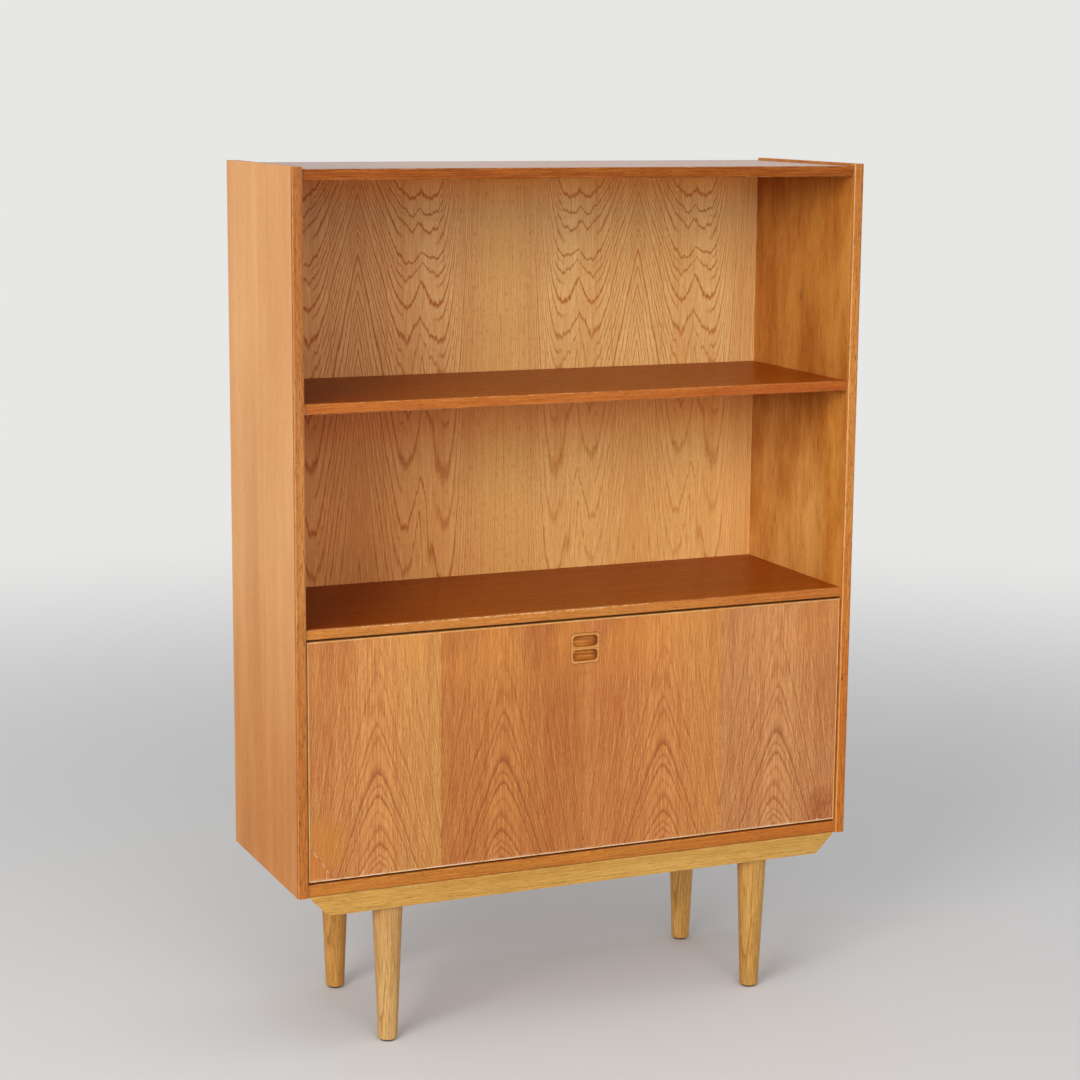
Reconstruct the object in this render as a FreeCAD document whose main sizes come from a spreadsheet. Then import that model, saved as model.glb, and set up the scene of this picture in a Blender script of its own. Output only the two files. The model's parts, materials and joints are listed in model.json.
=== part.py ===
import FreeCAD, Part
import Sketcher
import os
import re

doc = FreeCAD.newDocument("bookcase")
sheet = doc.addObject("Spreadsheet::Sheet", "Sizes")

# Driving dimensions in millimetres, and one angle in degrees
sizes = {
    # Carcass: two sides, three boards between them and a sheet let in at the back
    "overall_width": 900,
    "overall_depth": 310,
    "side_height": 1041,
    "side_thickness": 16,
    "side_lip_depth": 6,
    "side_arris": 2.2,
    "board_setback": 4.5,
    "board_lip_depth": 8,
    "board_arris": 1.2,
    "top_drop": 3.4,
    "top_thickness": 15.5,
    "fixed_shelf_top": 392.4,
    "fixed_shelf_thickness": 14,
    "bottom_thickness": 18,
    "sheet_thickness": 4,
    "sheet_rebate": 8,
    "sheet_clearance": 0.3,
    # Loose shelf on four flat pins
    "loose_shelf_top": 713.8,
    "loose_shelf_thickness": 15,
    "loose_shelf_setback": 5.5,
    "loose_shelf_end_gap": 1,
    "loose_shelf_back_gap": 2,
    "pin_radius": 2.5,
    "pin_depth": 10,
    "pin_seat_length": 9,
    "pin_seat_width": 12,
    "pin_seat_thickness": 1.6,
    "pin_inset": 40,
    # Drop flap and its edge lippings
    "flap_thickness": 16,
    "flap_edge": 2,
    "flap_side_gap": 1.8,
    "flap_top_gap": 3.2,
    "flap_swing_clearance": 0.4,
    "pivot_pin_radius": 3,
    "pivot_pin_depth": 14,
    "pivot_bush_radius": 5,
    "pivot_bush_depth": 9,
    "pivot_flange_radius": 7,
    "pivot_flange_thickness": 0.8,
    # Finger pull let into the flap
    "pull_width": 47,
    "pull_height": 45.5,
    "pull_depth": 12,
    "pull_corner": 6,
    "pull_drop": 20,
    "pull_rim": 3.5,
    "pull_bar": 4.5,
    "slot_depth": 9,
    "slot_corner": 6,
    # Flap stays: a rod on a bracket that slides through a swivel guide
    "stay_side_offset": 15,
    "stay_reach": 150,
    "stay_stand": 12,
    "stay_guide_angle": 42,
    "stay_rod_radius": 3,
    "stay_eye_radius": 6.5,
    "stay_eye_thickness": 3,
    "stay_rivet_radius": 2.5,
    "stay_rivet_head_radius": 4.2,
    "stay_rivet_head": 1.5,
    "stay_ear_thickness": 2,
    "stay_ear_gap": 0.3,
    "stay_foot_thickness": 2,
    "stay_foot_width": 16,
    "stay_foot_height": 44,
    "stay_foot_screw_pitch": 32,
    "guide_radius": 7,
    "guide_length": 18,
    "post_radius": 3,
    "post_grip": 6,
    "post_end_room": 0.4,
    "post_flange_radius": 13,
    "post_flange_thickness": 2.5,
    "post_screw_pitch": 18,
    "guide_stand": 1,
    "stop_radius": 5,
    "stop_length": 7,
    "stop_clearance": 0.3,
    # Magnet catch under the fixed shelf and its strike on the flap
    "catch_width": 46,
    "catch_height": 14,
    "catch_depth": 16,
    "magnet_width": 26,
    "magnet_height": 9,
    "magnet_depth": 8,
    "strike_width": 38,
    "strike_height": 13,
    "strike_thickness": 1.5,
    "catch_screw_pitch": 38,
    "catch_foot": 2.5,
    "strike_inset": 0.5,
    # Base frame: two long rails with undercut ends and two cross rails
    "rail_height": 31.2,
    "rail_width": 56,
    "rail_setback": 4,
    "rail_end_gap": 0.7,
    "rail_undercut": 30.7,
    "rear_leg_inset": 37.3,
    "cross_rail_width": 50,
    # Turned legs and their glides
    "leg_inset": 130.3,
    "leg_length": 209.5,
    "leg_top_radius": 22.75,
    "leg_foot_radius": 14.35,
    "leg_foot_round": 2.5,
    "leg_top_round": 0.8,
    "spigot_radius": 12.5,
    "spigot_length": 24,
    "glide_radius": 11,
    "glide_thickness": 2.5,
    "glide_round": 0.8,
    "glide_nail_radius": 1.5,
    "glide_nail_length": 14,
    # Dowels and screws
    "dowel_radius": 4,
    "dowel_in_side": 9,
    "dowel_in_board": 22,
    "frame_dowel_radius": 5,
    "frame_dowel_grip": 14,
    "screw_radius": 1.5,
    "screw_head_radius": 3,
    "screw_head_height": 1.7,
    "sheet_screw_length": 16,
    "fitting_screw_length": 10,
    "frame_screw_radius": 2.2,
    "frame_screw_head_radius": 4.4,
    "frame_screw_head_height": 2.6,
    "frame_screw_bite": 12,
    # Fits shared by all hidden joints and bearings
    "fit": 0.05,
    "hole_end_room": 0.5,
    "overrun": 2,
}

for number, (name, value) in enumerate(sizes.items(), start=1):
    sheet.set("A%d" % number, name)
    sheet.set("B%d" % number, str(value))
    sheet.setAlias("B%d" % number, name)
doc.recompute()

# Places worked out from the driving dimensions, in the part's frame:
# X across the front, Y from the front to the back, Z up from the floor
places = {
    "front": "-overall_depth / 2",
    "back": "overall_depth / 2",
    "inner": "overall_width / 2 - side_thickness",
    "carcass": "glide_thickness + leg_length + rail_height",
    "board_front": "front + board_setback",
    "board_start": "board_front + board_lip_depth",
    "sheet_front": "back - sheet_thickness",
    "top_board": "carcass + side_height - top_drop - top_thickness",
    "fixed_shelf": "carcass + fixed_shelf_top - fixed_shelf_thickness",
    "loose_shelf": "carcass + loose_shelf_top - loose_shelf_thickness",
    "loose_half": "inner - loose_shelf_end_gap",
    "loose_front": "front + loose_shelf_setback",
    "loose_back": "sheet_front - loose_shelf_back_gap",
    "flap_half": "inner - flap_side_gap",
    "flap_bottom_gap": "flap_thickness / 2 * (sqrt(2) - 1) + flap_swing_clearance",
    "flap_bottom": "carcass + bottom_thickness + flap_bottom_gap",
    "flap_top": "fixed_shelf - flap_top_gap",
    "flap_height": "flap_top - flap_bottom",
    "flap_back": "board_front + flap_thickness",
    "pivot_y": "board_front + flap_thickness / 2",
    "pivot_z": "flap_bottom + flap_thickness / 2",
    "pull_top": "flap_top - pull_drop",
    "slot_width": "pull_width - 2 * pull_rim",
    "slot_height": "(pull_height - 2 * pull_rim - pull_bar) / 2",
    "stay_offset": "flap_thickness / 2 + stay_stand",
    "stay_arm": "sqrt(stay_offset * stay_offset + stay_reach * stay_reach)",
    "stay_x": "inner - stay_side_offset",
    "stay_eye_y": "pivot_y + stay_offset",
    "stay_eye_z": "pivot_z + stay_reach",
    "stay_ear_inner": "stay_x - stay_eye_thickness / 2 - stay_ear_gap - stay_ear_thickness",
    "stay_foot_middle": "stay_ear_inner + stay_ear_thickness / 2",
    "guide_y": "pivot_y + stay_arm * cos(stay_guide_angle)",
    "guide_z": "pivot_z + stay_arm * sin(stay_guide_angle)",
    "stay_open_span": "sqrt((stay_reach + guide_y - pivot_y)^2 + (guide_z - pivot_z - stay_offset)^2)",
    "stop_start": "stay_open_span + guide_radius + stop_clearance",
    "guide_inner": "stay_side_offset - post_flange_thickness - guide_stand",
    "strike_back": "flap_back + strike_thickness",
    "strike_bottom": "flap_top - strike_inset - strike_height",
    "front_rail": "front + rail_setback",
    "front_leg": "front_rail + rail_width / 2",
    "rear_leg": "back - rear_leg_inset",
    "rear_rail": "rear_leg - rail_width / 2",
    "rail_half": "inner - rail_end_gap",
    "leg_from_centre": "rail_half - leg_inset",
    "rail_bottom": "carcass - rail_height",
    "cross_length": "rear_rail - front_rail - rail_width",
}

wordPattern = re.compile(r"[a-z][a-z_]*")
functionNames = {"sqrt", "cos", "sin", "atan", "min", "max", "deg"}


# Writes a formula in the sheet's own names, with every worked out place opened up
def formula(text):
    def opened(match):
        word = match.group(0)
        if word in functionNames:
            return word
        if word in places:
            return "(" + formula(places[word]) + ")"
        return sheet.Name + "." + word
    return wordPattern.sub(opened, str(text))


def bind(thing, target, text):
    thing.setExpression(target, formula(text))


def reading(text):
    return float(sheet.evalExpression(formula(text)))


def seat(thing, x, y, z):
    bind(thing, "Placement.Base.x", x)
    bind(thing, "Placement.Base.y", y)
    bind(thing, "Placement.Base.z", z)


turnsFromZ = {
    "X": FreeCAD.Rotation(FreeCAD.Vector(0, 1, 0), 90),
    "Y": FreeCAD.Rotation(FreeCAD.Vector(1, 0, 0), -90),
    "Z": FreeCAD.Rotation(),
    "-X": FreeCAD.Rotation(FreeCAD.Vector(0, 1, 0), -90),
    "-Y": FreeCAD.Rotation(FreeCAD.Vector(1, 0, 0), 90),
    "-Z": FreeCAD.Rotation(FreeCAD.Vector(1, 0, 0), 180),
}


def block(name, x, y, z, length, width, height):
    thing = doc.addObject("Part::Box", name)
    bind(thing, "Length", length)
    bind(thing, "Width", width)
    bind(thing, "Height", height)
    seat(thing, x, y, z)
    return thing


def round_bar(name, radius, length, x, y, z, axis):
    thing = doc.addObject("Part::Cylinder", name)
    thing.Placement.Rotation = turnsFromZ[axis]
    bind(thing, "Radius", radius)
    bind(thing, "Height", length)
    seat(thing, x, y, z)
    return thing


def cone(name, radius_low, radius_high, height, x, y, z, axis):
    thing = doc.addObject("Part::Cone", name)
    thing.Placement.Rotation = turnsFromZ[axis]
    bind(thing, "Radius1", radius_low)
    bind(thing, "Radius2", radius_high)
    bind(thing, "Height", height)
    seat(thing, x, y, z)
    return thing


def joined(name, pieces):
    thing = doc.addObject("Part::MultiFuse", name)
    thing.Shapes = pieces
    return thing


def grouped(name, pieces):
    thing = doc.addObject("Part::Compound", name)
    thing.Links = pieces
    return thing


def cut(name, base, tools):
    thing = doc.addObject("Part::Cut", name)
    thing.Base = base
    thing.Tool = tools[0] if len(tools) == 1 else grouped(name + "_tools", tools)
    return thing


def origin_plane(body, role):
    for feature in body.Origin.OriginFeatures:
        if feature.Role == role:
            return feature
    raise ValueError(role)


# A closed outline of straight lines whose corners are formulas
def outline(body, role, corners):
    sketch = body.newObject("Sketcher::SketchObject", body.Name + "_outline")
    sketch.AttachmentSupport = [(origin_plane(body, role), "")]
    sketch.MapMode = "FlatFace"
    count = len(corners)
    spots = [FreeCAD.Vector(reading(across), reading(up), 0) for across, up in corners]
    for index in range(count):
        sketch.addGeometry(Part.LineSegment(spots[index], spots[(index + 1) % count]))
    for index in range(count):
        sketch.addConstraint(Sketcher.Constraint("Coincident", index, 2, (index + 1) % count, 1))
    for index, (across, up) in enumerate(corners):
        for kind, text, value in (("DistanceX", across, spots[index].x), ("DistanceY", up, spots[index].y)):
            number = sketch.addConstraint(Sketcher.Constraint(kind, -1, 1, index, 1, value))
            if text != "0":
                sketch.setExpression("Constraints[%d]" % number, formula(text))
    return sketch


# A straight bar whose section is an outline; along Y it grows towards the front
def profile_bar(name, role, corners, length, x, y, z):
    body = doc.addObject("PartDesign::Body", name)
    pad = body.newObject("PartDesign::Pad", name + "_pad")
    pad.Profile = outline(body, role, corners)
    bind(pad, "Length", length)
    seat(body, x, y, z)
    return body


# A turned piece about the Z axis; corners are radius and height
def turned(name, corners, x, y, z):
    body = doc.addObject("PartDesign::Body", name)
    sketch = outline(body, "XZ_Plane", corners)
    turn = body.newObject("PartDesign::Revolution", name + "_turn")
    turn.Profile = sketch
    turn.ReferenceAxis = (sketch, ["V_Axis"])
    turn.Angle = 360
    seat(body, x, y, z)
    return body


# Rounds the edges of the last feature for which the test holds
def rounded(body, name, radius, test):
    doc.recompute()
    base = body.Tip
    names = ["Edge%d" % number for number, edge in enumerate(base.Shape.Edges, start=1) if test(edge)]
    fillet = body.newObject("PartDesign::Fillet", name)
    fillet.Base = (base, names)
    bind(fillet, "Radius", radius)
    return fillet


def lies_along(edge, direction):
    if edge.Curve.TypeId != "Part::GeomLine":
        return False
    return edge.Curve.Direction.cross(direction).Length < Part.Precision.approximation()


def is_ring(edge, height, radius):
    if edge.Curve.TypeId != "Part::GeomCircle":
        return False
    nearly = Part.Precision.approximation()
    return abs(edge.Curve.Center.z - height) < nearly and abs(edge.Curve.Radius - radius) < nearly


acrossWay = FreeCAD.Vector(1, 0, 0)
depthWay = FreeCAD.Vector(0, 1, 0)

nodes = []


def keep(thing, label):
    thing.Label = label
    nodes.append(thing)
    return thing


# A countersunk wood screw; its axis points from the head to the tip
def screw(name, x, y, z, axis, radius, head_radius, head_height, length, grow="0"):
    head = cone(name + "_head", head_radius + " + " + grow, radius + " + " + grow, head_height,
                x, y, z, axis)
    shank = round_bar(name + "_shank", radius + " + " + grow, length + " + " + grow, x, y, z, axis)
    return joined(name, [head, shank])


def sheet_screw(name, x, y, z, axis, grow="0"):
    return screw(name, x, y, z, axis, "screw_radius", "screw_head_radius", "screw_head_height",
                 "sheet_screw_length", grow)


def fitting_screw(name, x, y, z, axis, grow="0"):
    return screw(name, x, y, z, axis, "screw_radius", "screw_head_radius", "screw_head_height",
                 "fitting_screw_length", grow)


def frame_screw(name, x, y, z, axis, grow="0"):
    return screw(name, x, y, z, axis, "frame_screw_radius", "frame_screw_head_radius",
                 "frame_screw_head_height", "rail_height + frame_screw_bite", grow)


sides = {"left": "-1", "right": "1"}


# The X of a place given from the middle, on the left or the right
def mirrored(side, text):
    return "%s * (%s)" % (sides[side], text)


# A block that starts at the same distance from the middle on either side
def side_block(name, side, start, y, z, length, width, height):
    x = start if side == "right" else "-1 * (%s + %s)" % (start, length)
    return block(name, x, y, z, length, width, height)


# The way that points out of the cabinet on that side, and the way in
outward = {"left": "-X", "right": "X"}
inward = {"left": "X", "right": "-X"}

# Where the dowels and screws stand, as shares of the length that they divide
dowelShares = (0.12, 0.5, 0.88)
sideScrewShares = (0.06, 0.28, 0.5, 0.72, 0.94)
boardScrewShares = (-0.6, 0, 0.6)
frameScrewShares = (-0.45, 0, 0.45)
frameDowelShares = (0.3, 0.7)

# The boards that the dowels carry: the height of each one's middle
boardMiddles = {
    "top": "top_board + top_thickness / 2",
    "fixed": "fixed_shelf + fixed_shelf_thickness / 2",
    "bottom": "carcass + bottom_thickness / 2",
}


# Every carcass dowel of one side and one board, or the bores for them
def dowels(stem, side, board, whole=True, in_side=False):
    found = []
    for index, share in enumerate(dowelShares):
        y = "board_front + (sheet_front - board_front) * %s" % share
        name = "%s_%s_%s_%d" % (stem, side, board, index)
        z = boardMiddles[board]
        if whole:
            x = mirrored(side, "inner - dowel_in_board")
            found.append(round_bar(name, "dowel_radius", "dowel_in_board + dowel_in_side",
                                   x, y, z, outward[side]))
        elif in_side:
            x = mirrored(side, "inner - overrun")
            found.append(round_bar(name, "dowel_radius + fit", "overrun + dowel_in_side + hole_end_room",
                                   x, y, z, outward[side]))
        else:
            x = mirrored(side, "inner + overrun")
            found.append(round_bar(name, "dowel_radius + fit", "overrun + dowel_in_board + hole_end_room",
                                   x, y, z, inward[side]))
    return found


# The screws that hold the back sheet, as (name, x, z), by what they bite into
def sheet_screw_places():
    found = {"left": [], "right": [], "top": [], "fixed": [], "bottom": []}
    for side in sides:
        for index, share in enumerate(sideScrewShares):
            z = "carcass + side_height * %s" % share
            found[side].append(("%s_%d" % (side, index), mirrored(side, "inner + sheet_rebate / 2"), z))
    heights = {
        "top": "top_board + top_thickness / 4",
        "fixed": boardMiddles["fixed"],
        "bottom": "carcass + bottom_thickness * 3 / 4",
    }
    for board, z in heights.items():
        for index, share in enumerate(boardScrewShares):
            found[board].append(("%s_%d" % (board, index), "inner * %s" % share, z))
    return found


sheetScrews = sheet_screw_places()


def sheet_screw_row(stem, bites, grow="0"):
    found = []
    for bite in bites:
        for name, x, z in sheetScrews[bite]:
            found.append(sheet_screw(stem + name, x, "back", z, "-Y", grow))
    return found


# Side panels, rebated for the back sheet, with their solid front lippings
def side_panel(side):
    inner = mirrored(side, "inner")
    outer = mirrored(side, "overall_width / 2")
    rebate = mirrored(side, "inner + sheet_rebate")
    corners = [
        (inner, "front + side_lip_depth"), (outer, "front + side_lip_depth"),
        (outer, "back"), (rebate, "back"), (rebate, "sheet_front"), (inner, "sheet_front"),
    ]
    board = profile_bar("side_board_" + side, "XY_Plane", corners, "side_height", "0", "0", "carcass")
    bores = sheet_screw_row("side_bore_", [side], "fit")
    for carried in boardMiddles:
        bores += dowels("side_dowel_bore", side, carried, whole=False, in_side=True)
    bores += [shelf_pin_barrel("shelf_pin_bore", side, end, "fit") for end in shelfPinPlaces]
    bores.append(round_bar("bush_bore_" + side, "pivot_bush_radius + fit",
                           "overrun + pivot_bush_depth + hole_end_room",
                           mirrored(side, "inner - overrun"), "pivot_y", "pivot_z", outward[side]))
    bores += post_screws("post_bore", side, "fit")
    keep(cut("side_" + side, board, bores), "side_panel_" + side)


def side_lipping(side):
    inner = mirrored(side, "inner")
    outer = mirrored(side, "overall_width / 2")
    corners = [
        (inner, "front + side_lip_depth"), (inner, "front + side_arris"),
        (mirrored(side, "inner + side_arris"), "front"),
        (mirrored(side, "overall_width / 2 - side_arris"), "front"),
        (outer, "front + side_arris"), (outer, "front + side_lip_depth"),
    ]
    keep(profile_bar("lip_" + side, "XY_Plane", corners, "side_height", "0", "0", "carcass"),
         "side_lipping_" + side)


# A board's solid front edge with eased arrises, along the whole of its length
def board_lipping(label, half, front, thickness, z):
    start = front + " + board_lip_depth"
    corners = [
        (start, "0"), (front + " + board_arris", "0"), (front, "board_arris"),
        (front, thickness + " - board_arris"), (front + " + board_arris", thickness), (start, thickness),
    ]
    keep(profile_bar(label, "YZ_Plane", corners, "2 * (%s)" % half, "-1 * (%s)" % half, "0", z), label)


# A fixed board of the carcass, bored at its ends for dowels
def carcass_board(label, board, corners, z, more_bores):
    bar = profile_bar(label + "_bar", "YZ_Plane", corners, "2 * inner", "-1 * inner", "0", z)
    bores = list(more_bores)
    for side in sides:
        bores += dowels(label + "_bore", side, board, whole=False)
    keep(cut(label, bar, bores), label)


def carcass_boards():
    carcass_board("top_board", "top", [
        ("board_start", "0"), ("sheet_front", "0"), ("sheet_front", "top_thickness / 2"),
        ("back", "top_thickness / 2"), ("back", "top_thickness"), ("board_start", "top_thickness"),
    ], "top_board", sheet_screw_row("top_bore_", ["top"], "fit"))
    board_lipping("top_lipping", "inner", "board_front", "top_thickness", "top_board")
    shelf_bores = sheet_screw_row("fixed_bore_", ["fixed"], "fit") + catch_screws("fixed_catch_bore", "fit")
    carcass_board("fixed_shelf", "fixed", [
        ("board_start", "0"), ("sheet_front", "0"),
        ("sheet_front", "fixed_shelf_thickness"), ("board_start", "fixed_shelf_thickness"),
    ], "fixed_shelf", shelf_bores)
    board_lipping("fixed_shelf_lipping", "inner", "board_front", "fixed_shelf_thickness", "fixed_shelf")
    bottom_bores = sheet_screw_row("bottom_bore_", ["bottom"], "fit")
    bottom_bores += frame_screws("bottom_frame_bore", "fit")
    carcass_board("bottom_board", "bottom", [
        ("board_start", "0"), ("back", "0"), ("back", "bottom_thickness / 2"),
        ("sheet_front", "bottom_thickness / 2"), ("sheet_front", "bottom_thickness"),
        ("board_start", "bottom_thickness"),
    ], "carcass", bottom_bores)
    board_lipping("bottom_lipping", "inner", "board_front", "bottom_thickness", "carcass")


def back_sheet():
    half = "(inner + sheet_rebate - sheet_clearance)"
    low = "(carcass + bottom_thickness / 2 + sheet_clearance)"
    high = "(top_board + top_thickness / 2 - sheet_clearance)"
    plain = block("back_plain", "-1 * " + half, "sheet_front", low, "2 * " + half, "sheet_thickness",
                  high + " - " + low)
    keep(cut("back_cut", plain, sheet_screw_row("back_bore_", sheetScrews, "fit")), "back_sheet")
    keep(grouped("back_screws", sheet_screw_row("back_screw_", sheetScrews)), "back_sheet_screws")


def carcass_dowels():
    pegs = []
    for side in sides:
        for board in boardMiddles:
            pegs += dowels("carcass_dowel", side, board)
    keep(grouped("dowel_group", pegs), "carcass_dowels")


# Flat shelf pins: a barrel in the side and a seat under the loose shelf
shelfPinPlaces = {
    "front": "loose_front + pin_inset",
    "rear": "loose_back - pin_inset",
}


def shelf_pin_barrel(stem, side, end, grow="0"):
    x = mirrored(side, "inner - overrun")
    room = "0" if grow == "0" else "hole_end_room"
    return round_bar("%s_%s_%s" % (stem, side, end), "pin_radius + " + grow,
                     "overrun + pin_depth + " + room,
                     x, shelfPinPlaces[end], "loose_shelf - pin_radius", outward[side])


def shelf_pins():
    pins = []
    for side in sides:
        for end, y in shelfPinPlaces.items():
            stem = "%s_%s" % (side, end)
            barrel = shelf_pin_barrel("shelf_pin", side, end)
            tongue = side_block("shelf_pin_seat_" + stem, side, "inner - pin_seat_length",
                                y + " - pin_seat_width / 2", "loose_shelf - pin_seat_thickness",
                                "pin_seat_length", "pin_seat_width", "pin_seat_thickness")
            pins.append(joined("shelf_pin_" + stem, [barrel, tongue]))
    keep(grouped("shelf_pin_group", pins), "shelf_pins")


def loose_shelf():
    start = "loose_front + board_lip_depth"
    keep(block("loose_board", "-1 * loose_half", start, "loose_shelf", "2 * loose_half",
               "loose_back - (%s)" % start, "loose_shelf_thickness"), "loose_shelf")
    board_lipping("loose_shelf_lipping", "loose_half", "loose_front", "loose_shelf_thickness", "loose_shelf")


# Finger pull: a block with two scooped slots and a bar between them
def scooped_tool(name, x, y, z, width, depth, height, corner):
    body = doc.addObject("PartDesign::Body", name)
    lump = body.newObject("PartDesign::AdditiveBox", name + "_lump")
    bind(lump, "Length", width)
    bind(lump, "Width", depth)
    bind(lump, "Height", height)
    soft = body.newObject("PartDesign::Fillet", name + "_soft")
    soft.Base = (lump, [])
    soft.UseAllEdges = True
    bind(soft, "Radius", corner)
    seat(body, x, y, z)
    return body


def pull_block(name, grow):
    body = doc.addObject("PartDesign::Body", name)
    lump = body.newObject("PartDesign::AdditiveBox", name + "_lump")
    bind(lump, "Length", "pull_width + 2 * " + grow)
    bind(lump, "Width", "pull_depth + overrun" if grow != "0" else "pull_depth")
    bind(lump, "Height", "pull_height + 2 * " + grow)
    rounded(body, name + "_corners", "pull_corner + " + grow, lambda edge: lies_along(edge, depthWay))
    start = "board_front - overrun" if grow != "0" else "board_front"
    seat(body, "-1 * (pull_width / 2 + %s)" % grow, start, "pull_top - pull_height - " + grow)
    return body


def finger_pull():
    lump = pull_block("pull_lump", "0")
    slots = []
    for name, rise in (("lower", "pull_rim"), ("upper", "pull_rim + slot_height + pull_bar")):
        slots.append(scooped_tool("slot_" + name, "-1 * slot_width / 2", "board_front - slot_depth",
                                  "pull_top - pull_height + " + rise, "slot_width", "2 * slot_depth",
                                  "slot_height", "slot_corner"))
    keep(cut("pull_cut", lump, slots), "finger_pull")


def flap():
    panel = block("flap_plain", "-1 * (flap_half - flap_edge)", "board_front", "flap_bottom + flap_edge",
                  "2 * (flap_half - flap_edge)", "flap_thickness", "flap_height - 2 * flap_edge")
    bores = [pull_block("pull_seat", "fit")]
    bores += strike_screws("strike_bore", "fit")
    for side in sides:
        bores.append(pivot_pin_bar("panel_pivot_bore", side, "fit"))
        bores += stay_foot_screws("foot_bore", side, "fit")
    keep(cut("flap_cut", panel, bores), "flap_panel")
    keep(block("flap_top_edge", "-1 * flap_half", "board_front", "flap_top - flap_edge",
               "2 * flap_half", "flap_thickness", "flap_edge"), "flap_lipping_top")
    keep(block("flap_bottom_edge", "-1 * flap_half", "board_front", "flap_bottom",
               "2 * flap_half", "flap_thickness", "flap_edge"), "flap_lipping_bottom")
    for side in sides:
        strip = side_block("flap_edge_" + side, side, "flap_half - flap_edge", "board_front",
                           "flap_bottom + flap_edge", "flap_edge", "flap_thickness",
                           "flap_height - 2 * flap_edge")
        keep(cut("flap_edge_cut_" + side, strip, [pivot_pin_bar("edge_pivot_bore", side, "fit")]),
             "flap_lipping_" + side)


# The flap turns on a steel pin at each lower corner, in a flanged bush in the side
def pivot_pin_bar(stem, side, grow="0"):
    room = "0" if grow == "0" else "hole_end_room"
    x = mirrored(side, "flap_half - pivot_pin_depth - " + room)
    length = "pivot_pin_depth + %s + flap_side_gap + pivot_bush_depth - hole_end_room" % room
    return round_bar("%s_%s" % (stem, side), "pivot_pin_radius + " + grow, length, x, "pivot_y", "pivot_z",
                     outward[side])


def flap_pivots(side):
    keep(pivot_pin_bar("pivot_pin", side), "flap_pivot_pin_" + side)
    barrel = round_bar("bush_barrel_" + side, "pivot_bush_radius", "pivot_bush_depth",
                       mirrored(side, "inner"), "pivot_y", "pivot_z", outward[side])
    flange = round_bar("bush_flange_" + side, "pivot_flange_radius", "pivot_flange_thickness",
                       mirrored(side, "inner"), "pivot_y", "pivot_z", inward[side])
    bore = round_bar("bush_running_bore_" + side, "pivot_pin_radius + fit",
                     "overrun + pivot_flange_thickness + pivot_bush_depth + overrun",
                     mirrored(side, "inner - pivot_flange_thickness - overrun"), "pivot_y", "pivot_z",
                     outward[side])
    keep(cut("bush_" + side, joined("bush_solid_" + side, [barrel, flange]), [bore]),
         "flap_pivot_bush_" + side)


# Stays. Both ends of the rod stand as far from the flap's pivot, so the rod and its
# guide each turn through exactly half of the flap's angle
stayTilt = "(90 deg - atan(stay_offset / stay_reach) + stay_guide_angle * 1 deg) / 2 - 90 deg"


def tilted(thing):
    thing.Placement = FreeCAD.Placement(thing.Placement.Base, FreeCAD.Rotation(acrossWay, 1))
    bind(thing, "Placement.Rotation.Angle", stayTilt)


def stay_foot_screws(stem, side, grow="0"):
    found = []
    for name, way in (("low", "-1"), ("high", "1")):
        z = "stay_eye_z + %s * stay_foot_screw_pitch / 2" % way
        found.append(fitting_screw("%s_%s_%s" % (stem, side, name), mirrored(side, "stay_foot_middle"),
                                   "flap_back + stay_foot_thickness", z, "-Y", grow))
    return found


def post_screws(stem, side, grow="0"):
    found = []
    for name, way in (("low", "-1"), ("high", "1")):
        z = "guide_z + %s * post_screw_pitch / 2" % way
        found.append(fitting_screw("%s_%s_%s" % (stem, side, name),
                                   mirrored(side, "inner - post_flange_thickness"),
                                   "guide_y", z, outward[side], grow))
    return found


def stay_bracket(side):
    foot = side_block("foot_" + side, side, "stay_foot_middle - stay_foot_width / 2", "flap_back",
                      "stay_eye_z - stay_foot_height / 2", "stay_foot_width", "stay_foot_thickness",
                      "stay_foot_height")
    ear = side_block("ear_" + side, side, "stay_ear_inner", "flap_back", "stay_eye_z - stay_eye_radius",
                     "stay_ear_thickness", "stay_stand", "2 * stay_eye_radius")
    nose = round_bar("ear_nose_" + side, "stay_eye_radius", "stay_ear_thickness",
                     mirrored(side, "stay_ear_inner"), "stay_eye_y", "stay_eye_z", outward[side])
    holes = [round_bar("ear_hole_" + side, "stay_rivet_radius + fit", "stay_ear_thickness + 2 * overrun",
                       mirrored(side, "stay_ear_inner - overrun"), "stay_eye_y", "stay_eye_z",
                       outward[side])]
    holes += stay_foot_screws("foot_hole", side, "fit")
    keep(cut("bracket_" + side, joined("bracket_solid_" + side, [foot, ear, nose]), holes),
         "stay_bracket_" + side)


def stay_rivet(side):
    shank = round_bar("rivet_shank_" + side, "stay_rivet_radius",
                      "stay_ear_thickness + stay_ear_gap + stay_eye_thickness + fit",
                      mirrored(side, "stay_ear_inner"), "stay_eye_y", "stay_eye_z", outward[side])
    near = round_bar("rivet_near_" + side, "stay_rivet_head_radius", "stay_rivet_head",
                     mirrored(side, "stay_ear_inner"), "stay_eye_y", "stay_eye_z", inward[side])
    far = round_bar("rivet_far_" + side, "stay_rivet_head_radius", "stay_rivet_head",
                    mirrored(side, "stay_x + stay_eye_thickness / 2 + fit"), "stay_eye_y", "stay_eye_z",
                    outward[side])
    keep(joined("rivet_" + side, [shank, near, far]), "stay_rivet_" + side)


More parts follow.
